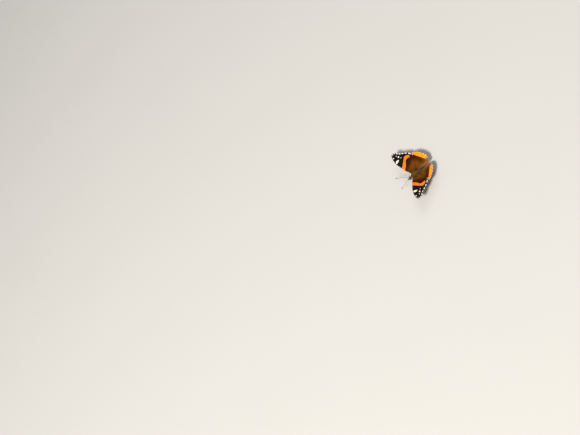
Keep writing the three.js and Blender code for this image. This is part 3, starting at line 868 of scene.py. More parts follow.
def wing_fringe(kind, side_name, material, seed):
    """Short flat scales that stand out from the outer margin, pale in the middle of each cell."""
    wing = WINGS[kind]
    side = SIDES[side_name]
    rng = np.random.default_rng(seed)
    columns, share, across, cells = wing_plan(wing)
    first = wing["first_margin_vein"] * len(CELL_STOPS)
    edge = columns[first:, -1]
    inner = columns[first:, -4]
    steps = np.r_[0, np.cumsum(np.linalg.norm(np.diff(edge, axis=0), axis=1))]
    total = steps[-1]
    count = int(total / 0.024)
    at = np.sort(rng.uniform(0, total, count))

    def along(values):
        return np.stack([np.interp(at, steps, values[:, k]) for k in range(values.shape[1])], axis=1)

    place = along(edge)
    away = place - along(inner)
    away /= np.linalg.norm(away, axis=1)[:, None]
    middle = 1 - np.abs(across[first:] - 0.5) * 2
    check = np.interp(at, steps, middle)
    spread = rng.normal(0, 0.16, count)
    away = np.stack([away[:, 0] - away[:, 1] * spread, away[:, 1] + away[:, 0] * spread], axis=1)
    lift = rng.uniform(-0.03, 0.03, count)
    root = row_points(on_sheet(wing, place - away * 0.18, lift), side)
    tip = row_points(on_sheet(wing, place + away * 0.4, lift + rng.normal(0, 0.03, count)), side)
    lengths = wings_now().fringe * rng.uniform(0.6, 1.05, count)
    up = np.tile([0.0, 0.0, 1.0], (count, 1))
    spots = wing_spots(place)
    piece = tufts(
        f"{kind}wing_{side_name}_fringe", root, tip - root, up, lengths, 0.04 * MM, spots, check, material,
        droop=0.0,
        levels=2,
    )
    finish_piece(piece, f"{kind}wing")


def wing_hairs(kind, side_name, material, seed):
    """Fine hairs that lie close over the inner part of the wing and thin out away from its root."""
    wing = WINGS[kind]
    side = SIDES[side_name]
    rng = np.random.default_rng(seed)
    last = len(wing["veins"]) - 1
    tries = wings_now().base_hairs * 5
    far = 10.5 if kind == "fore" else 13.0
    share = rng.uniform(0.03, 0.62, tries)
    order = last * rng.uniform(0.08, 0.995, tries)
    low = np.clip(order.astype(int), 0, last - 1)
    t = (order - low)[:, None]
    plan = np.zeros((tries, 2))
    ahead = np.zeros((tries, 2))
    for i in range(last):
        chosen = low == i
        for target, at in ((plan, share[chosen]), (ahead, share[chosen] + 0.03)):
            one = vein_line(wing, i, at)
            two = vein_line(wing, i + 1, at)
            target[chosen] = one * (1 - t[chosen]) + two * t[chosen]
    reach = np.hypot(plan[:, 0], plan[:, 1])
    band = outline_depth(plan, BANDS[kind])
    if kind == "hind":
        far = far - 5.0 * np.clip((plan[:, 1] + 4) / 4, 0, 1)
    keep = (rng.uniform(0, 1, tries) < 1.1 - (reach / far) ** 1.5) & (reach < far) & (band < -1.6)
    plan, ahead, reach = (values[keep][: wings_now().base_hairs] for values in (plan, ahead, reach))
    count = len(plan)
    root = row_points(on_sheet(wing, plan, np.full(count, 0.05)), side)
    way = unit(row_points(on_sheet(wing, ahead, np.full(count, 0.05)), side) - root)
    up = unit(np.tile([-0.2 * side, 0.0, 1.0], (count, 1)))
    way = way + up * rng.uniform(0.05, 0.2, count)[:, None] + rng.normal(0, 0.1, (count, 3))
    lengths = MM * rng.uniform(0.7, 1.5, count) * (1.15 - 0.07 * reach)
    spots = wing_spots(plan)
    piece = tufts(
        f"{kind}wing_{side_name}_hairs", root, way, up, lengths, 0.02 * MM, spots, rng.uniform(0, 1, count),
        material,
        droop=0.1,
    )
    finish_piece(piece, f"{kind}wing")


def scale_grain(tree):
    """Random number and dome height of each wing scale, which lie in rows across the wing."""
    read = tree.node("ShaderNodeAttribute", {"attribute_name": "grain"})
    cells = tree.node(
        "ShaderNodeTexVoronoi", {"voronoi_dimensions": "2D"},
        {"Vector": read.outputs["Vector"], "Scale": 1.0, "Randomness": 0.55},
    )
    split = tree.node("ShaderNodeSeparateColor", None, {0: cells.outputs["Color"]})
    return tree.value(split.outputs[0]), tree.value(split.outputs[1]), tree.value(cells.outputs["Distance"])


def wing_material(kind):
    settings = wings_now()
    material, tree = new_material(f"{kind}wing scales")
    band, white, dots = tree.numbers("marks")
    rim, vein, check = tree.numbers("lines")
    blue, share, upper = tree.numbers("extra")
    place = tree.node("ShaderNodeAttribute", {"attribute_name": "plan"}).outputs["Vector"]
    u, v, _ = tree.numbers("plan")
    each, other, dome = scale_grain(tree)
    ragged = (each - 0.5) * 0.5 + (tree.noise(place, 1.1) - 0.5) * 0.9
    fine = tree.noise(place, 2.6, 5)
    broad = tree.noise(place, 0.35, 2)
    shade = tree.mix(each, (0.72, 0.72, 0.72, 1), (1.25, 1.22, 1.2, 1))

    def shaded(colour_socket):
        multiply = {"data_type": "RGBA", "blend_type": "MULTIPLY"}
        return tree.node("ShaderNodeMix", multiply, {0: 1.0, 6: colour_socket, 7: shade}).outputs[2]

    def mark(depth, rough=0.5, soft=0.09):
        return (depth + ragged * rough).ramp(-soft, soft)

    black = rgba(settings.black)
    maroon = rgba(settings.maroon)
    brown = rgba(settings.brown)
    gold = rgba(settings.gold)
    pale = rgba(settings.white)
    red = rgba(settings.red)
    orange = rgba(settings.orange)
    sky = rgba(settings.blue)
    olive = rgba(settings.olive)
    grey = rgba(settings.grey)

    # Upper side
    if kind == "fore":
        outer = u + v * 1.2 + (broad - 0.5) * 4.0
        inner = 0.92 - outer.ramp(4.5, 13.5) * 0.92
        near = 1 - outer.ramp(15.5, 19.0)
    else:
        dusk = (band + 7.5 + (broad - 0.5) * 3.0).ramp(0.0, 4.5) * (1 - (band + 1.0).ramp(0.0, 0.9))
        inner = 1 - dusk * 0.85 * (v + 13).ramp(-2.0, 5.0)
        near = 1.0
    ground = tree.mix(near, black, maroon)
    ground = tree.mix(inner, ground, brown)
    flecks = (each + fine * 0.8).ramp(0.85, 1.35) * inner * (1 - share.ramp(0.1, 0.8))
    ground = tree.mix(flecks * 0.6, ground, gold)
    veined = 1 - (vein + (each - 0.5) * 0.12).ramp(0.06, 0.24)
    ground = tree.mix(veined * 0.45, ground, black)
    if kind == "fore":
        warm = tree.mix((fine + each * 0.4).ramp(0.4, 0.95), red, rgba(settings.red_light))
        warm = tree.mix(veined * 0.3, warm, maroon)
        top = tree.mix(mark(band, 0.55), ground, warm)
        milky = tree.mix(veined * 0.45, pale, black)
        top = tree.mix(mark(white, 0.45), top, milky)
        blue_line = mark(0.28 - rim.away_from(1.15)) * share.ramp(0.9, 0.96) * each.ramp(0.45, 0.55)
        top = tree.mix(blue_line * v.ramp(6, 11) * 0.16, top, sky)
        # Painted sheen: a grey-olive patch over the forewing tip stands in for the bluish-grey sheen of the
        # black scales there
        towards_tip = u * 0.7 + v * 0.7 + (fine - 0.5) * 2.4 + (each - 0.5)
        painted_tip_sheen = towards_tip.ramp(29.6, 31.6) * (rim + ragged * 0.3).ramp(0.3, 0.7)
        top = tree.mix(painted_tip_sheen * 0.75, top, rgba((0.16, 0.125, 0.085)))
        checks = (0.78 - rim + ragged * 0.4).ramp(-0.05, 0.1) * (check + (each - 0.5) * 0.2).ramp(0.36, 0.5)
        top = tree.mix(checks, top, pale)
    else:
        warm = tree.mix((fine + each * 0.4).ramp(0.35, 0.95), orange, rgba(settings.orange_light))
        border = mark(band, 0.5) * (rim + ragged * 0.25).ramp(0.28, 0.5)
        top = tree.mix(border, ground, warm)
        top = tree.mix(border * veined * (1 - rim.ramp(0.9, 2.4)) * 0.6, top, black)
        top = tree.mix(mark(dots, 0.35), top, black)
        top = tree.mix(mark(blue + 0.35, 0.3), top, black)
        top = tree.mix(mark(blue - 0.02, 0.3) * each.ramp(0.15, 0.3), top, sky)
        checks = (0.22 - rim + ragged * 0.1).ramp(-0.05, 0.06) * check.ramp(0.5, 0.66)
        top = tree.mix(checks, top, pale)
        fold = (v * -0.16 - u * 0.42 + broad).ramp(0.1, 1.0) * (1 - border)
        top = tree.mix(fold * 0.35, top, rgba((0.30, 0.155, 0.05)))
    top = shaded(top)

    # Underside
    mottle = tree.noise(place, 0.55, 5, 0.68)
    second = tree.noise(tree.scaled(place, (1.0, 1.6, 1.0)), 0.9, 4, 0.6)
    low = tree.mix(mottle.ramp(0.42, 0.58), rgba((0.022, 0.015, 0.010)), olive)
    low = tree.mix((second.ramp(0.56, 0.66)) * 0.7, low, grey)
    low = tree.mix((1 - vein.ramp(0.07, 0.2)) * 0.6, low, rgba((0.13, 0.10, 0.07)))
    if kind == "fore":
        dark = share.ramp(0.2, 0.35) * (1 - share.ramp(0.84, 0.97))
        low = tree.mix(dark * 0.9, low, rgba((0.012, 0.010, 0.010)))
        low = tree.mix(mark(band + 0.2, 0.55) * 0.95, low, rgba((0.78, 0.13, 0.045)))
        low = tree.mix(mark(white, 0.45), low, pale)
        halo = mark(0.3 - white.away_from(-0.75)) * each.ramp(0.35, 0.5)
        low = tree.mix(halo * 0.6, low, sky)
        low = tree.mix((0.5 - rim + ragged * 0.3).ramp(-0.05, 0.1) * check.ramp(0.42, 0.6), low, pale)
    else:
        costal = (v - 0.9).ramp(0.0, 0.8) * (u - 8).ramp(0, 1.2) * (1 - (u - 12.5).ramp(0, 1.6))
        low = tree.mix(costal * 0.85, low, rgba((0.62, 0.52, 0.36)))
        zone = (rim - 2.6).ramp(-0.5, 0.5) * (1 - (rim - 5.2).ramp(-0.6, 0.6))
        low = tree.mix(zone * check.ramp(0.2, 0.7) * 0.55, low, rgba((0.15, 0.085, 0.05)))
        ring = mark(dots + 0.5, 0.25) * (1 - mark(dots, 0.2))
        low = tree.mix(ring * 0.7, low, grey)
        low = tree.mix(mark(dots - 0.12, 0.2) * 0.8, low, rgba((0.02, 0.05, 0.07)))
        low = tree.mix((0.22 - rim + ragged * 0.1).ramp(-0.05, 0.06) * check.ramp(0.5, 0.66), low, pale)
    low = shaded(low)

    colours = tree.mix(upper.ramp(0.4, 0.6), low, top)
    rough = 0.78 + (other - 0.5) * 0.2
    tree.shader(
        colours, rough, [(0.5 - dome * 0.8, 0.03), (fine, 0.04)],
        **{"Specular IOR Level": 0.02},
    )
    return material


def coat_material(name, root_colour, tip_colour, odd_colour, check=False):
    """Hair or fringe: each tuft has its own tint, and a hair is also darker at its root."""
    material, tree = new_material(name)
    tint, rise, _ = tree.numbers("tuft")
    place = tree.node("ShaderNodeTexCoord").outputs["Object"]
    patch = tree.noise(place, 900.0, 2)
    if check:
        colours = tree.mix((tint + (patch - 0.5) * 0.5).ramp(0.36, 0.52), rgba(root_colour), rgba(tip_colour))
    else:
        lit = rise * 0.75 + (patch - 0.5) * 0.7 + 0.12
        colours = tree.mix(lit.ramp(0.0, 1.0), rgba(root_colour), rgba(tip_colour))
        colours = tree.mix(tint.ramp(0.62, 0.95) * rise.ramp(0.0, 0.6), colours, rgba(odd_colour))
    tree.shader(colours, COAT_ROUGHNESS, [(patch, 0.004)], **{"Specular IOR Level": 0.15})
    return material


# Body


def skin_radii(forward):
    """Centre height, half width and half height of the skin, at places forward of the body's zero."""
    sections = np.array(SKIN_SECTIONS)[::-1]
    return [np.interp(forward, sections[:, 0], sections[:, k]) for k in (1, 2, 3)]


def skin_places(forward, angle):
    height, wide, tall = skin_radii(forward)
    within = (forward - ABDOMEN_TO) / (ABDOMEN_FROM - ABDOMEN_TO) * ABDOMEN_SEGMENTS
    on_abdomen = (forward < ABDOMEN_FROM) & (forward > ABDOMEN_TO)
    step = np.where(on_abdomen, 0.07 * (1 - (within % 1)) ** 2 - 0.035, 0)
    out = (wide - step) * np.sin(angle)
    up = height + (tall - step) * np.cos(angle)
    return np.stack([out, forward, up], axis=1)


def skin_surface(forward, angle):
    """Places on the skin, the way out from it and the way back along it.

    Angle 0 is the top, and grows to the left.
    """
    places = skin_places(forward, angle)
    ahead = skin_places(forward + 0.12, angle) - skin_places(forward - 0.12, angle)
    around = skin_places(forward, angle + 0.02) - skin_places(forward, angle - 0.02)
    normals = unit(np.cross(around, ahead))
    return places, normals, -unit(ahead)


def unwrap_spot(forward, angle):
    """Place on the body's unwrap: its length across, and its girth up."""
    span = SKIN_SECTIONS[0][0] - SKIN_SECTIONS[-1][0]
    across = 0.02 + 0.96 * (SKIN_SECTIONS[0][0] - forward) / span
    return np.stack([across, 0.02 + 0.96 * (angle % (2 * np.pi)) / (2 * np.pi)], axis=1)


def body_material():
    settings = body_now()
    material, tree = new_material("body skin")
    place = tree.node("ShaderNodeTexCoord").outputs["Object"]
    fine = tree.noise(place, 2600.0, 4)
    broad = tree.noise(place, 420.0, 3)
    colours = tree.mix((fine * 0.6 + broad * 0.6).ramp(0.35, 0.85), rgba(settings.skin), rgba(settings.hair))
    cells = tree.node("ShaderNodeTexVoronoi", None, {"Vector": place, "Scale": 9000.0, "Randomness": 0.8})
    tree.shader(colours, 0.5 + fine * 0.3, [(tree.value(cells.outputs["Distance"]), 0.02), (broad, 0.05)])
    return material


def make_skin():
    rows, columns = 210, 48
    start, end = SKIN_SECTIONS[0][0], SKIN_SECTIONS[-1][0]
    forward = start + (end - start) * (np.arange(rows) / (rows - 1))
    angles = 2 * np.pi * np.arange(columns) / columns
    rings = []
    for place in forward:
        rings.append(row_points(skin_places(np.full(columns, place), angles)))
    piece = mesh_piece("body_skin", *loft(np.array(rings)), body_material())
    finish_piece(piece, "body", "head", "thorax", "abdomen")


def body_coat(name, span, arc, count, lengths, lift, droop, seed, material):
    """Tufts over the skin between two places along it and two angles about it, lying towards the tail."""
    rng = np.random.default_rng(seed)
    forward = rng.uniform(*span, count * 3)
    angle = rng.uniform(*arc, count * 3)
    _, wide, tall = skin_radii(forward)
    keep = rng.uniform(0, 1, count * 3) < (wide + tall) / (wide + tall).max()
    forward, angle = forward[keep][:count], angle[keep][:count]
    places, normals, back = skin_surface(forward, angle)
    count = len(forward)
    way = back + normals * (lift * rng.uniform(0.5, 1.5, count))[:, None] + rng.normal(0, 0.15, (count, 3))
    flip = np.array([1.0, -1.0, 1.0])
    piece = tufts(
        name, row_points(places), way * flip, normals * flip, MM * rng.uniform(*lengths, count),
        body_now().tuft_radius, unwrap_spot(forward, angle), rng.uniform(0, 1, count), material, droop=droop,
    )
    finish_piece(piece, "body")


def eye_material():
    settings = body_now()
    material, tree = new_material("compound eye")
    place = tree.node("ShaderNodeTexCoord").outputs["Object"]
    facets = tree.node("ShaderNodeTexVoronoi", None, {"Vector": place, "Scale": 24000.0, "Randomness": 0.45})
    broad = tree.noise(place, 700.0, 2)
    shade = tree.mix(broad.ramp(0.3, 0.7), rgba(settings.eye), (0.10, 0.04, 0.016, 1))
    edge = tree.value(facets.outputs["Distance"])
    shade = tree.mix(edge.ramp(0.45, 0.8) * 0.5, shade, (0.01, 0.006, 0.004, 1))
    tree.shader(shade, 0.3 + edge * 0.15, [(1 - edge, 0.008)], **{"Specular IOR Level": 0.35})
    return material


def make_eye(side_name, material):
    side = SIDES[side_name]
    rows, columns = 40, 56
    lift = np.pi * (np.arange(rows) + 0.5) / rows
    angles = 2 * np.pi * np.arange(columns) / columns
    radius = EYE_RADIUS - 0.02
    rings = []
    for polar in lift:
        out = EYE_CENTRE[0] + radius * np.cos(polar) * np.ones(columns)
        forward = EYE_CENTRE[1] + radius * np.sin(polar) * np.cos(angles)
        up = EYE_CENTRE[2] + radius * EYE_STRETCH * np.sin(polar) * np.sin(angles)
        rings.append(row_points(np.stack([out, forward, up], axis=1), side))
    piece = mesh_piece(f"eye_{side_name}_facets", *loft(np.array(rings)), material)
    finish_piece(piece, "eye", f"eye_{side_name}")


def limb_material(name, colour_value, tip_colour):
    material, tree = new_material(name)
    place = tree.node("ShaderNodeTexCoord").outputs["Object"]
    fine = tree.noise(place, 2400.0, 4)
    cells = tree.node("ShaderNodeTexVoronoi", None, {"Vector": place, "Scale": 9000.0, "Randomness": 0.7})
    colours = tree.mix(fine.ramp(0.35, 0.7), rgba(colour_value), rgba(tip_colour))
    tree.shader(colours, 0.45 + fine * 0.3, [(tree.value(cells.outputs["Distance"]), 0.012)])
    return material


def antenna_centres(share):
    along = ANTENNA_LENGTH * share
    rise = ANTENNA_RISE * (1.25 - 0.5 * share)
    out = ANTENNA_ROOT[0] + along * math.sin(ANTENNA_SPREAD) * np.cos(rise)
    forward = ANTENNA_ROOT[1] + along * math.cos(ANTENNA_SPREAD) * np.cos(rise)
    up = ANTENNA_ROOT[2] + along * np.sin(rise)
    return np.stack([out, forward, up], axis=1)


def path_object(name, points, radii):
    """A poly curve through points in metres, for a tree to follow."""
    curve = bpy.data.curves.new(name, "CURVE")
    curve.dimensions = "3D"
    spline = curve.splines.new("POLY")
    spline.points.add(len(points) - 1)
    for made, point, radius in zip(spline.points, points, radii):
        made.co = (*point, 1.0)
        made.radius = radius
    holder = bpy.data.objects.new(name, curve)
    bpy.context.scene.collection.objects.link(holder)
    return holder


def run_tree(name, group, holder, inputs):
    """The plain mesh that a tree makes of a curve, in place of that curve."""
    modifier = holder.modifiers.new(name, "NODES")
    modifier.node_group = group
    for item in group.interface.items_tree:
        if item.item_type == "SOCKET" and item.in_out == "INPUT" and item.name in inputs:
            modifier[item.identifier] = inputs[item.name]
    graph = bpy.context.evaluated_depsgraph_get()
    graph.update()
    mesh = bpy.data.meshes.new_from_object(holder.evaluated_get(graph), depsgraph=graph)
    mesh.name = name
    curve = holder.data
    bpy.data.objects.remove(holder)
    bpy.data.curves.remove(curve)
    mesh.polygons.foreach_set("use_smooth", [True] * len(mesh.polygons))
    piece = bpy.data.objects.new(name, mesh)
    bpy.context.scene.collection.objects.link(piece)
    return piece


def ringed_tree(name, material):
    """Barrel-shaped segments threaded on a path, each as thick as the path there."""
    group = bpy.data.node_groups.new(name, "GeometryNodeTree")
    group.interface.new_socket("Path", in_out="INPUT", socket_type="NodeSocketGeometry")
    group.interface.new_socket("Segments", in_out="INPUT", socket_type="NodeSocketInt")
    group.interface.new_socket("Segment length", in_out="INPUT", socket_type="NodeSocketFloat")
    group.interface.new_socket("Waist", in_out="INPUT", socket_type="NodeSocketFloat")
    group.interface.new_socket("Geometry", in_out="OUTPUT", socket_type="NodeSocketGeometry")
    tree = Tree(group)
    given = tree.node("NodeGroupInput").outputs
    places = tree.node(
        "GeometryNodeResampleCurve", None, {"Curve": given["Path"], "Count": given["Segments"]}
    )
    radius = tree.node("GeometryNodeInputRadius")
    tangent = tree.node("GeometryNodeInputTangent")
    parameter = tree.node("GeometryNodeSplineParameter")
    kept = tree.node(
        "GeometryNodeStoreNamedAttribute", {"data_type": "FLOAT", "domain": "POINT"},
        {"Geometry": places.outputs[0], "Name": "path_share", "Value": parameter.outputs["Factor"]},
    )
    turned = tree.node("FunctionNodeAlignRotationToVector", {"axis": "Z"}, {"Vector": tangent.outputs[0]})
    barrel = tree.node(
        "GeometryNodeMeshCylinder", {"fill_type": "TRIANGLE_FAN"},
        {"Vertices": 14, "Side Segments": 6, "Fill Segments": 1, "Radius": 1.0, "Depth": 1.0},
    )
    place = tree.node("GeometryNodeInputPosition")
    split = tree.node("ShaderNodeSeparateXYZ", None, {0: place.outputs[0]})
    level = tree.value(split.outputs[2])
    along = tree.node(
        "GeometryNodeStoreNamedAttribute", {"data_type": "FLOAT", "domain": "POINT"},
        {"Geometry": barrel.outputs[0], "Name": "segment_share", "Value": (level + 0.5)},
    )
    squeeze = 1 - tree.value(given["Waist"]) * (level * level * 4)
    pinch = tree.node("ShaderNodeCombineXYZ", None, {0: squeeze, 1: squeeze, 2: 1.0})
    shaped = tree.node(
        "ShaderNodeVectorMath", {"operation": "MULTIPLY"}, {0: place.outputs[0], 1: pinch.outputs[0]}
    )
    barrel_shaped = tree.node(
        "GeometryNodeSetPosition", None, {"Geometry": along.outputs[0], "Position": shaped.outputs[0]}
    )
    size = tree.node(
        "ShaderNodeCombineXYZ", None,
        {0: radius.outputs[0], 1: radius.outputs[0], 2: given["Segment length"]},
    )
    set_out = tree.node(
        "GeometryNodeInstanceOnPoints", None,
        {
            "Points": kept.outputs[0], "Instance": barrel_shaped.outputs[0], "Rotation": turned.outputs[0],
            "Scale": size.outputs[0],
        },
    )
    real = tree.node("GeometryNodeRealizeInstances", None, {"Geometry": set_out.outputs[0]})
    worn = tree.node("GeometryNodeSetMaterial", None, {"Geometry": real.outputs[0], "Material": material})
    tree.node("NodeGroupOutput", None, {0: worn.outputs[0]})
    return group


def antenna_material():
    settings = body_now()
    material, tree = new_material("antenna rings")
    along = tree.value(tree.node("ShaderNodeAttribute", {"attribute_name": "segment_share"}).outputs["Fac"])
    share = tree.value(tree.node("ShaderNodeAttribute", {"attribute_name": "path_share"}).outputs["Fac"])
    place = tree.node("ShaderNodeTexCoord").outputs["Object"]
    fine = tree.noise(place, 6000.0, 3)
    ring = (1 - (along + (fine - 0.5) * 0.12).ramp(0.2, 0.3)) * (1 - share.ramp(0.84, 0.88))
    colours = tree.mix(ring * 0.85, rgba(settings.antenna), rgba(settings.ring))
    colours = tree.mix((share + (fine - 0.5) * 0.02).ramp(0.955, 0.975), colours, rgba(settings.ring))
    tree.shader(colours, 0.4 + fine * 0.2, [(fine, 0.01)])
    return material


def make_antenna(side_name, group):
    side = SIDES[side_name]
    share = np.linspace(0, 1, 80)
    centres = row_points(antenna_centres(share), side)
    club = np.clip((share - 0.84) / 0.08, 0, 1)
    club = club * club * (3 - 2 * club)
    close = np.clip((1 - share) / 0.035, 0, 1) ** 0.5
    radii = MM * (0.15 + 0.3 * club) * np.maximum(close, 0.25)
    radii[:3] = MM * 0.22
    holder = path_object(f"antenna_{side_name}_path", centres, radii)
    segments = 46
    piece = run_tree(
        f"antenna_{side_name}_ringed", group, holder,
        {"Segments": segments, "Segment length": ANTENNA_LENGTH * MM / (segments - 1) * 1.06, "Waist": 0.16},
    )
    finish_piece(piece, "antenna", f"antenna_{side_name}")


def make_tongue(group):
    count = 160
    t = np.linspace(0, 1, count)
    radius = TONGUE_OUTER + (TONGUE_INNER - TONGUE_OUTER) * t
    angle = math.pi * 0.62 - 2 * math.pi * TONGUE_TURNS * t
    places = np.stack(
        [
            np.full(count, TONGUE_CENTRE[0]),
            TONGUE_CENTRE[1] + radius * np.cos(angle),
            TONGUE_CENTRE[2] + radius * np.sin(angle),
        ],
        axis=1,
    )
    holder = path_object("tongue_path", row_points(places), MM * (0.2 - 0.09 * t))
    piece = run_tree(
        "tongue_coil", group, holder, {"Segments": 110, "Segment length": 0.085 * MM, "Waist": 0.12}
    )
    finish_piece(piece, "tongue", "proboscis")


def curved_way(way, thick, count):
    """Centres and half thicknesses along a way, evenly in its spans."""
    at = np.linspace(0, len(way) - 1, count)
    return catmull(way, at), np.interp(at, np.arange(len(thick)), thick)


def ring_coat(name, rings, rows, count, lengths, lift, radius, seed, material, slot):
    """Short scales over a limb, lying towards its end."""
    rng = np.random.default_rng(seed)
    row = rng.uniform(rows[0], min(rows[1], len(rings) - 3), count)
    column = rng.uniform(0, rings.shape[1], count)
    low_row, low_column = row.astype(int), column.astype(int)
    high_column = (low_column + 1) % rings.shape[1]
    t, across = (row - low_row)[:, None], (column - low_column)[:, None]
    here = rings[low_row, low_column] * (1 - across) + rings[low_row, high_column] * across
    ahead = rings[low_row + 1, low_column] * (1 - across) + rings[low_row + 1, high_column] * across
    roots = here * (1 - t) + ahead * t
    middle = rings[low_row].mean(axis=1) * (1 - t) + rings[low_row + 1].mean(axis=1) * t
    normals = unit(roots - middle)
    along = unit(rings[low_row + 2].mean(axis=1) - rings[low_row].mean(axis=1))
    way = along + normals * (lift * rng.uniform(0.5, 1.5, count))[:, None] + rng.normal(0, 0.14, (count, 3))
    spots = np.stack([0.04 + 0.92 * row / len(rings), 0.04 + 0.92 * column / rings.shape[1]], axis=1)
    piece = tufts(
        name, roots, way, normals, MM * rng.uniform(*lengths, count), radius * MM, spots,
        rng.uniform(0, 1, count),
        material, droop=0.1,
    )
    above_floor(piece.data)
    finish_piece(piece, slot)


def make_palp(side_name, material, coat, seed):
    side = SIDES[side_name]
    centres, radii = curved_way(PALP_WAY, PALP_THICK, 40)
    rings = tube_rings(row_points(centres, side), radii * MM, 18)
    piece = mesh_piece(f"palp_{side_name}_skin", *loft(rings), material)
    finish_piece(piece, "palp", f"palp_{side_name}")
    ring_coat(f"palp_{side_name}_scales", rings, (1, 37), 1500, (0.2, 0.5), 0.35, 0.022, seed, coat, "palp")


def spine_tree(name, material):
    """Short spines along a path, turned round it step by step."""
    group = bpy.data.node_groups.new(name, "GeometryNodeTree")
    group.interface.new_socket("Path", in_out="INPUT", socket_type="NodeSocketGeometry")
    group.interface.new_socket("Spines", in_out="INPUT", socket_type="NodeSocketInt")
    group.interface.new_socket("Spine length", in_out="INPUT", socket_type="NodeSocketFloat")
    group.interface.new_socket("Seed", in_out="INPUT", socket_type="NodeSocketInt")
    group.interface.new_socket("Geometry", in_out="OUTPUT", socket_type="NodeSocketGeometry")
    tree = Tree(group)
    given = tree.node("NodeGroupInput").outputs
    places = tree.node("GeometryNodeResampleCurve", None, {"Curve": given["Path"], "Count": given["Spines"]})
    tangent = tree.node("GeometryNodeInputTangent")
    normal = tree.node("GeometryNodeInputNormal")
    index = tree.value(tree.node("GeometryNodeInputIndex").outputs[0])
    chance = tree.node(
        "FunctionNodeRandomValue", {"data_type": "FLOAT"}, {2: 0.7, 3: 1.25, "Seed": given["Seed"]}
    )
    about = tree.node(
        "ShaderNodeVectorRotate", {"rotation_type": "AXIS_ANGLE"},
        {"Vector": normal.outputs[0], "Axis": tangent.outputs[0], "Angle": index * math.radians(137.5)},
    )
    lean = tree.node(
        "ShaderNodeVectorMath", {"operation": "MULTIPLY_ADD"},
        {0: tangent.outputs[0], 1: (0.9, 0.9, 0.9), 2: about.outputs[0]},
    )
    turned = tree.node("FunctionNodeAlignRotationToVector", {"axis": "Z"}, {"Vector": lean.outputs[0]})
    spine = tree.node(
        "GeometryNodeMeshCone", {"fill_type": "TRIANGLE_FAN"},
        {
            "Vertices": 5,
            "Side Segments": 2,
            "Radius Top": 0.008 * MM,
            "Radius Bottom": 0.035 * MM,
            "Depth": 1.0,
        },
    )
    size = tree.node(
        "ShaderNodeCombineXYZ", None,
        {0: 1.0, 1: 1.0, 2: tree.value(given["Spine length"]) * tree.value(chance.outputs[1])},
    )
    set_out = tree.node(
        "GeometryNodeInstanceOnPoints", None,
        {
            "Points": places.outputs[0], "Instance": spine.outputs[0], "Rotation": turned.outputs[0],
            "Scale": size.outputs[0],
        },
    )
    real = tree.node("GeometryNodeRealizeInstances", None, {"Geometry": set_out.outputs[0]})
    worn = tree.node("GeometryNodeSetMaterial", None, {"Geometry": real.outputs[0], "Material": material})
    tree.node("NodeGroupOutput", None, {0: worn.outputs[0]})
    return group


def tarsus_profile():
    """Half thicknesses of five short segments that narrow towards the claw."""
    profile = []
    for segment in range(5):
        size = 1 - 0.07 * segment
        profile += [0.085 * size, 0.115 * size, 0.135 * size, 0.14 * size]
    return profile + [0.08]


WALKING_PROFILES = [
    [0.44, 0.42, 0.28],
    [0.22, 0.29, 0.3, 0.26, 0.18],
    [0.14, 0.155, 0.155, 0.16, 0.175],
    [0.15, 0.12],
    tarsus_profile(),
]
FOLDED_PROFILES = [[0.36, 0.32, 0.24], [0.22, 0.27, 0.2], [0.17, 0.2, 0.17, 0.08]]


def jointed_way(way, profiles, samples):
    """Centres and half thicknesses of straight limbs, each bending over a short length at its joints."""
    way = np.asarray(way, float)
    last = len(way) - 1
    centres, radii = [], []
    for i in range(last):
        span = way[i + 1] - way[i]
        bend = min(JOINT_BEND / np.linalg.norm(span), LONGEST_BEND)
        low, high = (bend if i else 0), (1 - bend if i < last - 1 else 1)
        stops = np.linspace(0, 1, len(profiles[i]))
        for t in np.linspace(low, high, samples):
            centres.append(way[i] + span * t)
            radii.append(np.interp((t - low) / (high - low), stops, profiles[i]))
        if i < last - 1:
            ahead = way[i + 2] - way[i + 1]
            end = way[i + 1] + ahead * min(JOINT_BEND / np.linalg.norm(ahead), LONGEST_BEND)
            start = centres[-1]
            for t in (0.3, 0.7):
                centres.append((1 - t) ** 2 * start + 2 * t * (1 - t) * way[i + 1] + t * t * end)
                radii.append(min(profiles[i][-1], profiles[i + 1][0]) * 0.94)
    return np.array(centres), np.array(radii)


def claw_pair(tip, ahead, across):
    """Two small curved claws at the end of a foot, as vertices and faces."""
    vertices, faces = [], []
    for spread in (-1, 1):
        steps = np.linspace(0, 1, 9)
        way = np.array([
            tip + ahead * 0.34 * t + across * spread * (0.03 + 0.13 * t)
            + np.array([0, 0, 0.07 * math.sin(math.pi * t) - 0.06 * t])
            for t in steps
        ])
        rings = tube_rings(way * MM, (0.036 * (1 - 0.85 * steps)) * MM, 7)
        rings[:, :, 2] = np.maximum(rings[:, :, 2], 0)
        more, quads = loft(rings)
        faces += [[index + sum(len(v) for v in vertices) for index in quad] for quad in quads]
        vertices.append(more)
    return np.vstack(vertices), faces


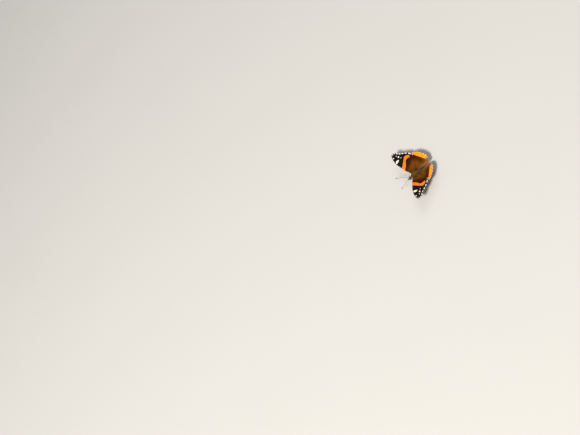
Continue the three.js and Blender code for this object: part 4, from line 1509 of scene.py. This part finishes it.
def make_leg(name, side_name, materials):
    side = SIDES[side_name]
    walks = LEGS[name]["walks"]
    centres, radii = jointed_way(LEGS[name]["way"], WALKING_PROFILES if walks else FOLDED_PROFILES, 26)
    if walks:
        centres[:, 2] = np.maximum(centres[:, 2], radii + 0.01)
    points = row_points(centres, side)
    rings = tube_rings(points, radii * MM, 16)
    rings[:, :, 2] = np.maximum(rings[:, :, 2], 0.0)
    piece = mesh_piece(f"{name}_{side_name}_skin", *loft(rings), materials["skin"])
    finish_piece(piece, "leg", f"{name}_{side_name}")
    count = body_now().leg_tufts
    if walks:
        ring_coat(
            f"{name}_{side_name}_scales", rings, (6, 84), count, (0.14, 0.34), 0.3, 0.018, 41,
            materials["coat"], "leg",
        )
        chosen = slice(int(len(points) * 0.42), len(points) - 4)
        holder = path_object(f"{name}_{side_name}_path", points[chosen], radii[chosen] * MM)
        bristles = run_tree(
            f"{name}_{side_name}_spines", materials["spines"], holder,
            {"Spines": 64, "Spine length": 0.5 * MM, "Seed": 4},
        )
        above_floor(bristles.data)
        finish_piece(bristles, "leg")
        ahead = unit((points[-1] - points[-6])[None])[0]
        across = unit(np.cross(ahead, [0, 0, 1.0])[None])[0]
        vertices, faces = claw_pair(points[-1] / MM, ahead, across)
        claws = mesh_piece(f"{name}_{side_name}_claws", vertices, faces, materials["claw"])
        finish_piece(claws, "leg")
    else:
        last = len(rings) - 4
        ring_coat(
            f"{name}_{side_name}_brush", rings, (4, last), count * 2, (0.3, 0.75), 0.4, 0.02, 43,
            materials["coat"], "leg",
        )


# Operators


class BUTTERFLY_OT_wings(bpy.types.Operator):
    """Build the four wings with their markings, fringes and hairs"""

    bl_idname = "butterfly.wings"
    bl_label = "Wings"

    def execute(self, context):
        settings = wings_now()
        fringe = coat_material(
            "fringe scales", (0.012, 0.009, 0.008), settings.white, settings.white, check=True
        )
        hairs = coat_material("wing hairs", (0.085, 0.03, 0.006), settings.brown, settings.gold)
        for seed, kind in enumerate(WINGS, 11):
            material = wing_material(kind)
            for side_name in SIDES:
                make_wing(kind, side_name, material)
                wing_fringe(kind, side_name, fringe, seed)
                wing_hairs(kind, side_name, hairs, seed)
        return {"FINISHED"}


class BUTTERFLY_OT_body(bpy.types.Operator):
    """Build the body's skin and its coat of hair"""

    bl_idname = "butterfly.body"
    bl_label = "Body and coat"

    def execute(self, context):
        settings = body_now()
        make_skin()
        thorax_hair = coat_material("thorax hair", settings.skin, settings.hair, settings.tawny)
        belly_hair = coat_material(
            "belly hair", (0.05, 0.035, 0.022), (0.22, 0.15, 0.085), (0.42, 0.31, 0.19)
        )
        abdomen_hair = coat_material(
            "abdomen scales", settings.skin, (0.13, 0.074, 0.022), (0.32, 0.18, 0.055)
        )
        head_hair = coat_material("head hair", settings.skin, settings.hair, settings.tawny)
        upper, lower, round_about = (-1.75, 1.75), (1.55, 4.73), (-3.15, 3.14)
        thorax, abdomen = settings.thorax_tufts, settings.abdomen_tufts
        head, face, root = settings.head_tufts, settings.face_tufts, settings.root_tufts
        # Places along the body, angles about it, tufts, lengths, lift, droop, seed and material
        coats = {
            "thorax_hair": ((-4.4, 5.55), upper, thorax, (0.7, 1.5), 0.42, 0.22, 21, thorax_hair),
            "thorax_under_hair": (
                (-4.4, 5.5), lower, int(thorax * 0.8), (0.5, 1.1), 0.4, 0.2, 24, belly_hair,
            ),
            "abdomen_hair": ((-13.1, -4.3), upper, abdomen, (0.35, 0.8), 0.16, 0.1, 22, abdomen_hair),
            "abdomen_under_hair": (
                (-13.1, -4.3), lower, int(abdomen * 0.7), (0.3, 0.6), 0.16, 0.1, 25, belly_hair,
            ),
            "head_hair": ((5.5, 8.3), round_about, head, (0.3, 0.75), 0.75, 0.15, 23, head_hair),
            "face_hair": ((8.0, 8.415), round_about, face, (0.25, 0.5), 2.2, 0.1, 26, head_hair),
            "wing_root_hair_left": (
                (-2.6, 1.2), (1.0, 1.95), root, (1.3, 2.3), 0.5, 0.25, 27, thorax_hair,
            ),
            "wing_root_hair_right": (
                (-2.6, 1.2), (-1.95, -1.0), root, (1.3, 2.3), 0.5, 0.25, 28, thorax_hair,
            ),
        }
        for name, coat in coats.items():
            body_coat(name, *coat)
        return {"FINISHED"}


class BUTTERFLY_OT_head(bpy.types.Operator):
    """Build the eyes, antennae, palps and coiled tongue"""

    bl_idname = "butterfly.head"
    bl_label = "Eyes, antennae, palps and tongue"

    def execute(self, context):
        settings = body_now()
        eyes = eye_material()
        rings = ringed_tree("Ringed antenna", antenna_material())
        palps = limb_material("palp skin", settings.skin, settings.hair)
        palp_coat = coat_material("palp scales", settings.skin, settings.hair, settings.tawny)
        for number, side_name in enumerate(("left", "right")):
            make_eye(side_name, eyes)
            make_antenna(side_name, rings)
            make_palp(side_name, palps, palp_coat, 31)
        tongue = limb_material("tongue", (0.03, 0.014, 0.008), (0.09, 0.045, 0.022))
        make_tongue(ringed_tree("Ringed tongue", tongue))
        return {"FINISHED"}


class BUTTERFLY_OT_legs(bpy.types.Operator):
    """Build the four walking legs and the folded forelegs"""

    bl_idname = "butterfly.legs"
    bl_label = "Legs"

    def execute(self, context):
        settings = body_now()
        dark = (0.02, 0.012, 0.007)
        materials = {
            "skin": limb_material("leg skin", settings.leg, settings.leg_scale),
            "coat": coat_material("leg scales", settings.leg, settings.leg_scale, (0.45, 0.34, 0.22)),
            "spines": spine_tree("Leg spines", limb_material("leg spines", dark, settings.leg)),
            "claw": limb_material("claws", dark, (0.05, 0.03, 0.018)),
        }
        for name in LEGS:
            for side_name in SIDES:
                make_leg(name, side_name, materials)
        return {"FINISHED"}


def area_light(name, place, aim, power, size, tint):
    light = bpy.data.lights.new(name, "AREA")
    light.energy = power
    light.size = size
    light.color = tint
    holder = bpy.data.objects.new(name, light)
    holder.location = place
    holder.rotation_mode = "QUATERNION"
    holder.rotation_quaternion = (Vector(aim) - Vector(place)).to_track_quat("-Z", "Y")
    bpy.context.scene.collection.objects.link(holder)


class BUTTERFLY_OT_stage(bpy.types.Operator):
    """Set the plain floor, the soft studio lights and the camera"""

    bl_idname = "butterfly.stage"
    bl_label = "Stage"

    def execute(self, context):
        settings = stage_now()
        material, tree = new_material("plain floor")
        place = tree.node("ShaderNodeTexCoord").outputs["Object"]
        cloudy = tree.noise(place, 9.0, 3)
        shade = tree.mix(cloudy, rgba(settings.floor), rgba([c * 0.97 for c in settings.floor]))
        tree.shader(shade, 0.85 + cloudy * 0.05, [])
        floor = mesh_piece(
            "plain_floor", [(-3, -3, 0), (3, -3, 0), (3, 3, 0), (-3, 3, 0)], [(0, 1, 2, 3)], material,
            smooth=False,
        )

        aim = (0, 0, 0.006)
        area_light("key", (1.38, -0.67, 2.14), aim, settings.key_power, 0.5, (1.0, 0.955, 0.87))
        area_light("fill", (-1.6, 1.2, 2.0), aim, settings.fill_power, 2.0, (0.95, 0.97, 1.0))
        world = bpy.data.worlds.new("soft studio")
        world.use_nodes = True
        world.node_tree.nodes["Background"].inputs[0].default_value = (0.84, 0.85, 0.88, 1)
        world.node_tree.nodes["Background"].inputs[1].default_value = 0.36
        context.scene.world = world
        context.scene.view_settings.view_transform = "Standard"

        camera = bpy.data.cameras.new("camera")
        camera.lens = settings.lens
        camera.sensor_width = 36
        camera.clip_start = 0.01
        camera.clip_end = 20
        holder = bpy.data.objects.new("camera", camera)
        towards = Vector((503.2, 145.9, 695.4)).normalized()
        spot = Vector((0, BODY_Y, HINGE_HEIGHT)) * MM + towards * settings.camera_distance
        right = Vector((0.3402, 0.7298, -0.5930))
        up = Vector((-0.7250, 0.6052, 0.3289))
        back = right.cross(up).normalized()
        up = back.cross(right).normalized()
        turn = Matrix((right.normalized(), up, back)).transposed()
        holder.matrix_world = Matrix.Translation(spot) @ turn.to_4x4()
        context.scene.collection.objects.link(holder)
        context.scene.camera = holder
        return {"FINISHED"}


class BUTTERFLY_PT_panel(bpy.types.Panel):
    """Buttons that build the butterfly piece by piece"""

    bl_label = "Butterfly"
    bl_idname = "BUTTERFLY_PT_panel"
    bl_space_type = "VIEW_3D"
    bl_region_type = "UI"
    bl_category = "Butterfly"

    def draw(self, context):
        for operator in OPERATORS:
            self.layout.operator(operator.bl_idname)


OPERATORS = (BUTTERFLY_OT_wings, BUTTERFLY_OT_body, BUTTERFLY_OT_head, BUTTERFLY_OT_legs, BUTTERFLY_OT_stage)
SETTINGS = {
    "butterfly_wings": WingSettings,
    "butterfly_body": BodySettings,
    "butterfly_stage": StageSettings,
}


def register():
    for kind in (*SETTINGS.values(), *OPERATORS, BUTTERFLY_PT_panel):
        bpy.utils.register_class(kind)
    for name, kind in SETTINGS.items():
        setattr(bpy.types.Scene, name, bpy.props.PointerProperty(type=kind))


def unregister():
    for name in SETTINGS:
        delattr(bpy.types.Scene, name)
    for kind in (BUTTERFLY_PT_panel, *reversed(OPERATORS), *reversed(SETTINGS.values())):
        bpy.utils.unregister_class(kind)


def main():
    register()
    bpy.ops.butterfly.wings()
    bpy.ops.butterfly.body()
    bpy.ops.butterfly.head()
    bpy.ops.butterfly.legs()
    bpy.ops.butterfly.stage()


if __name__ == "__main__":
    main()
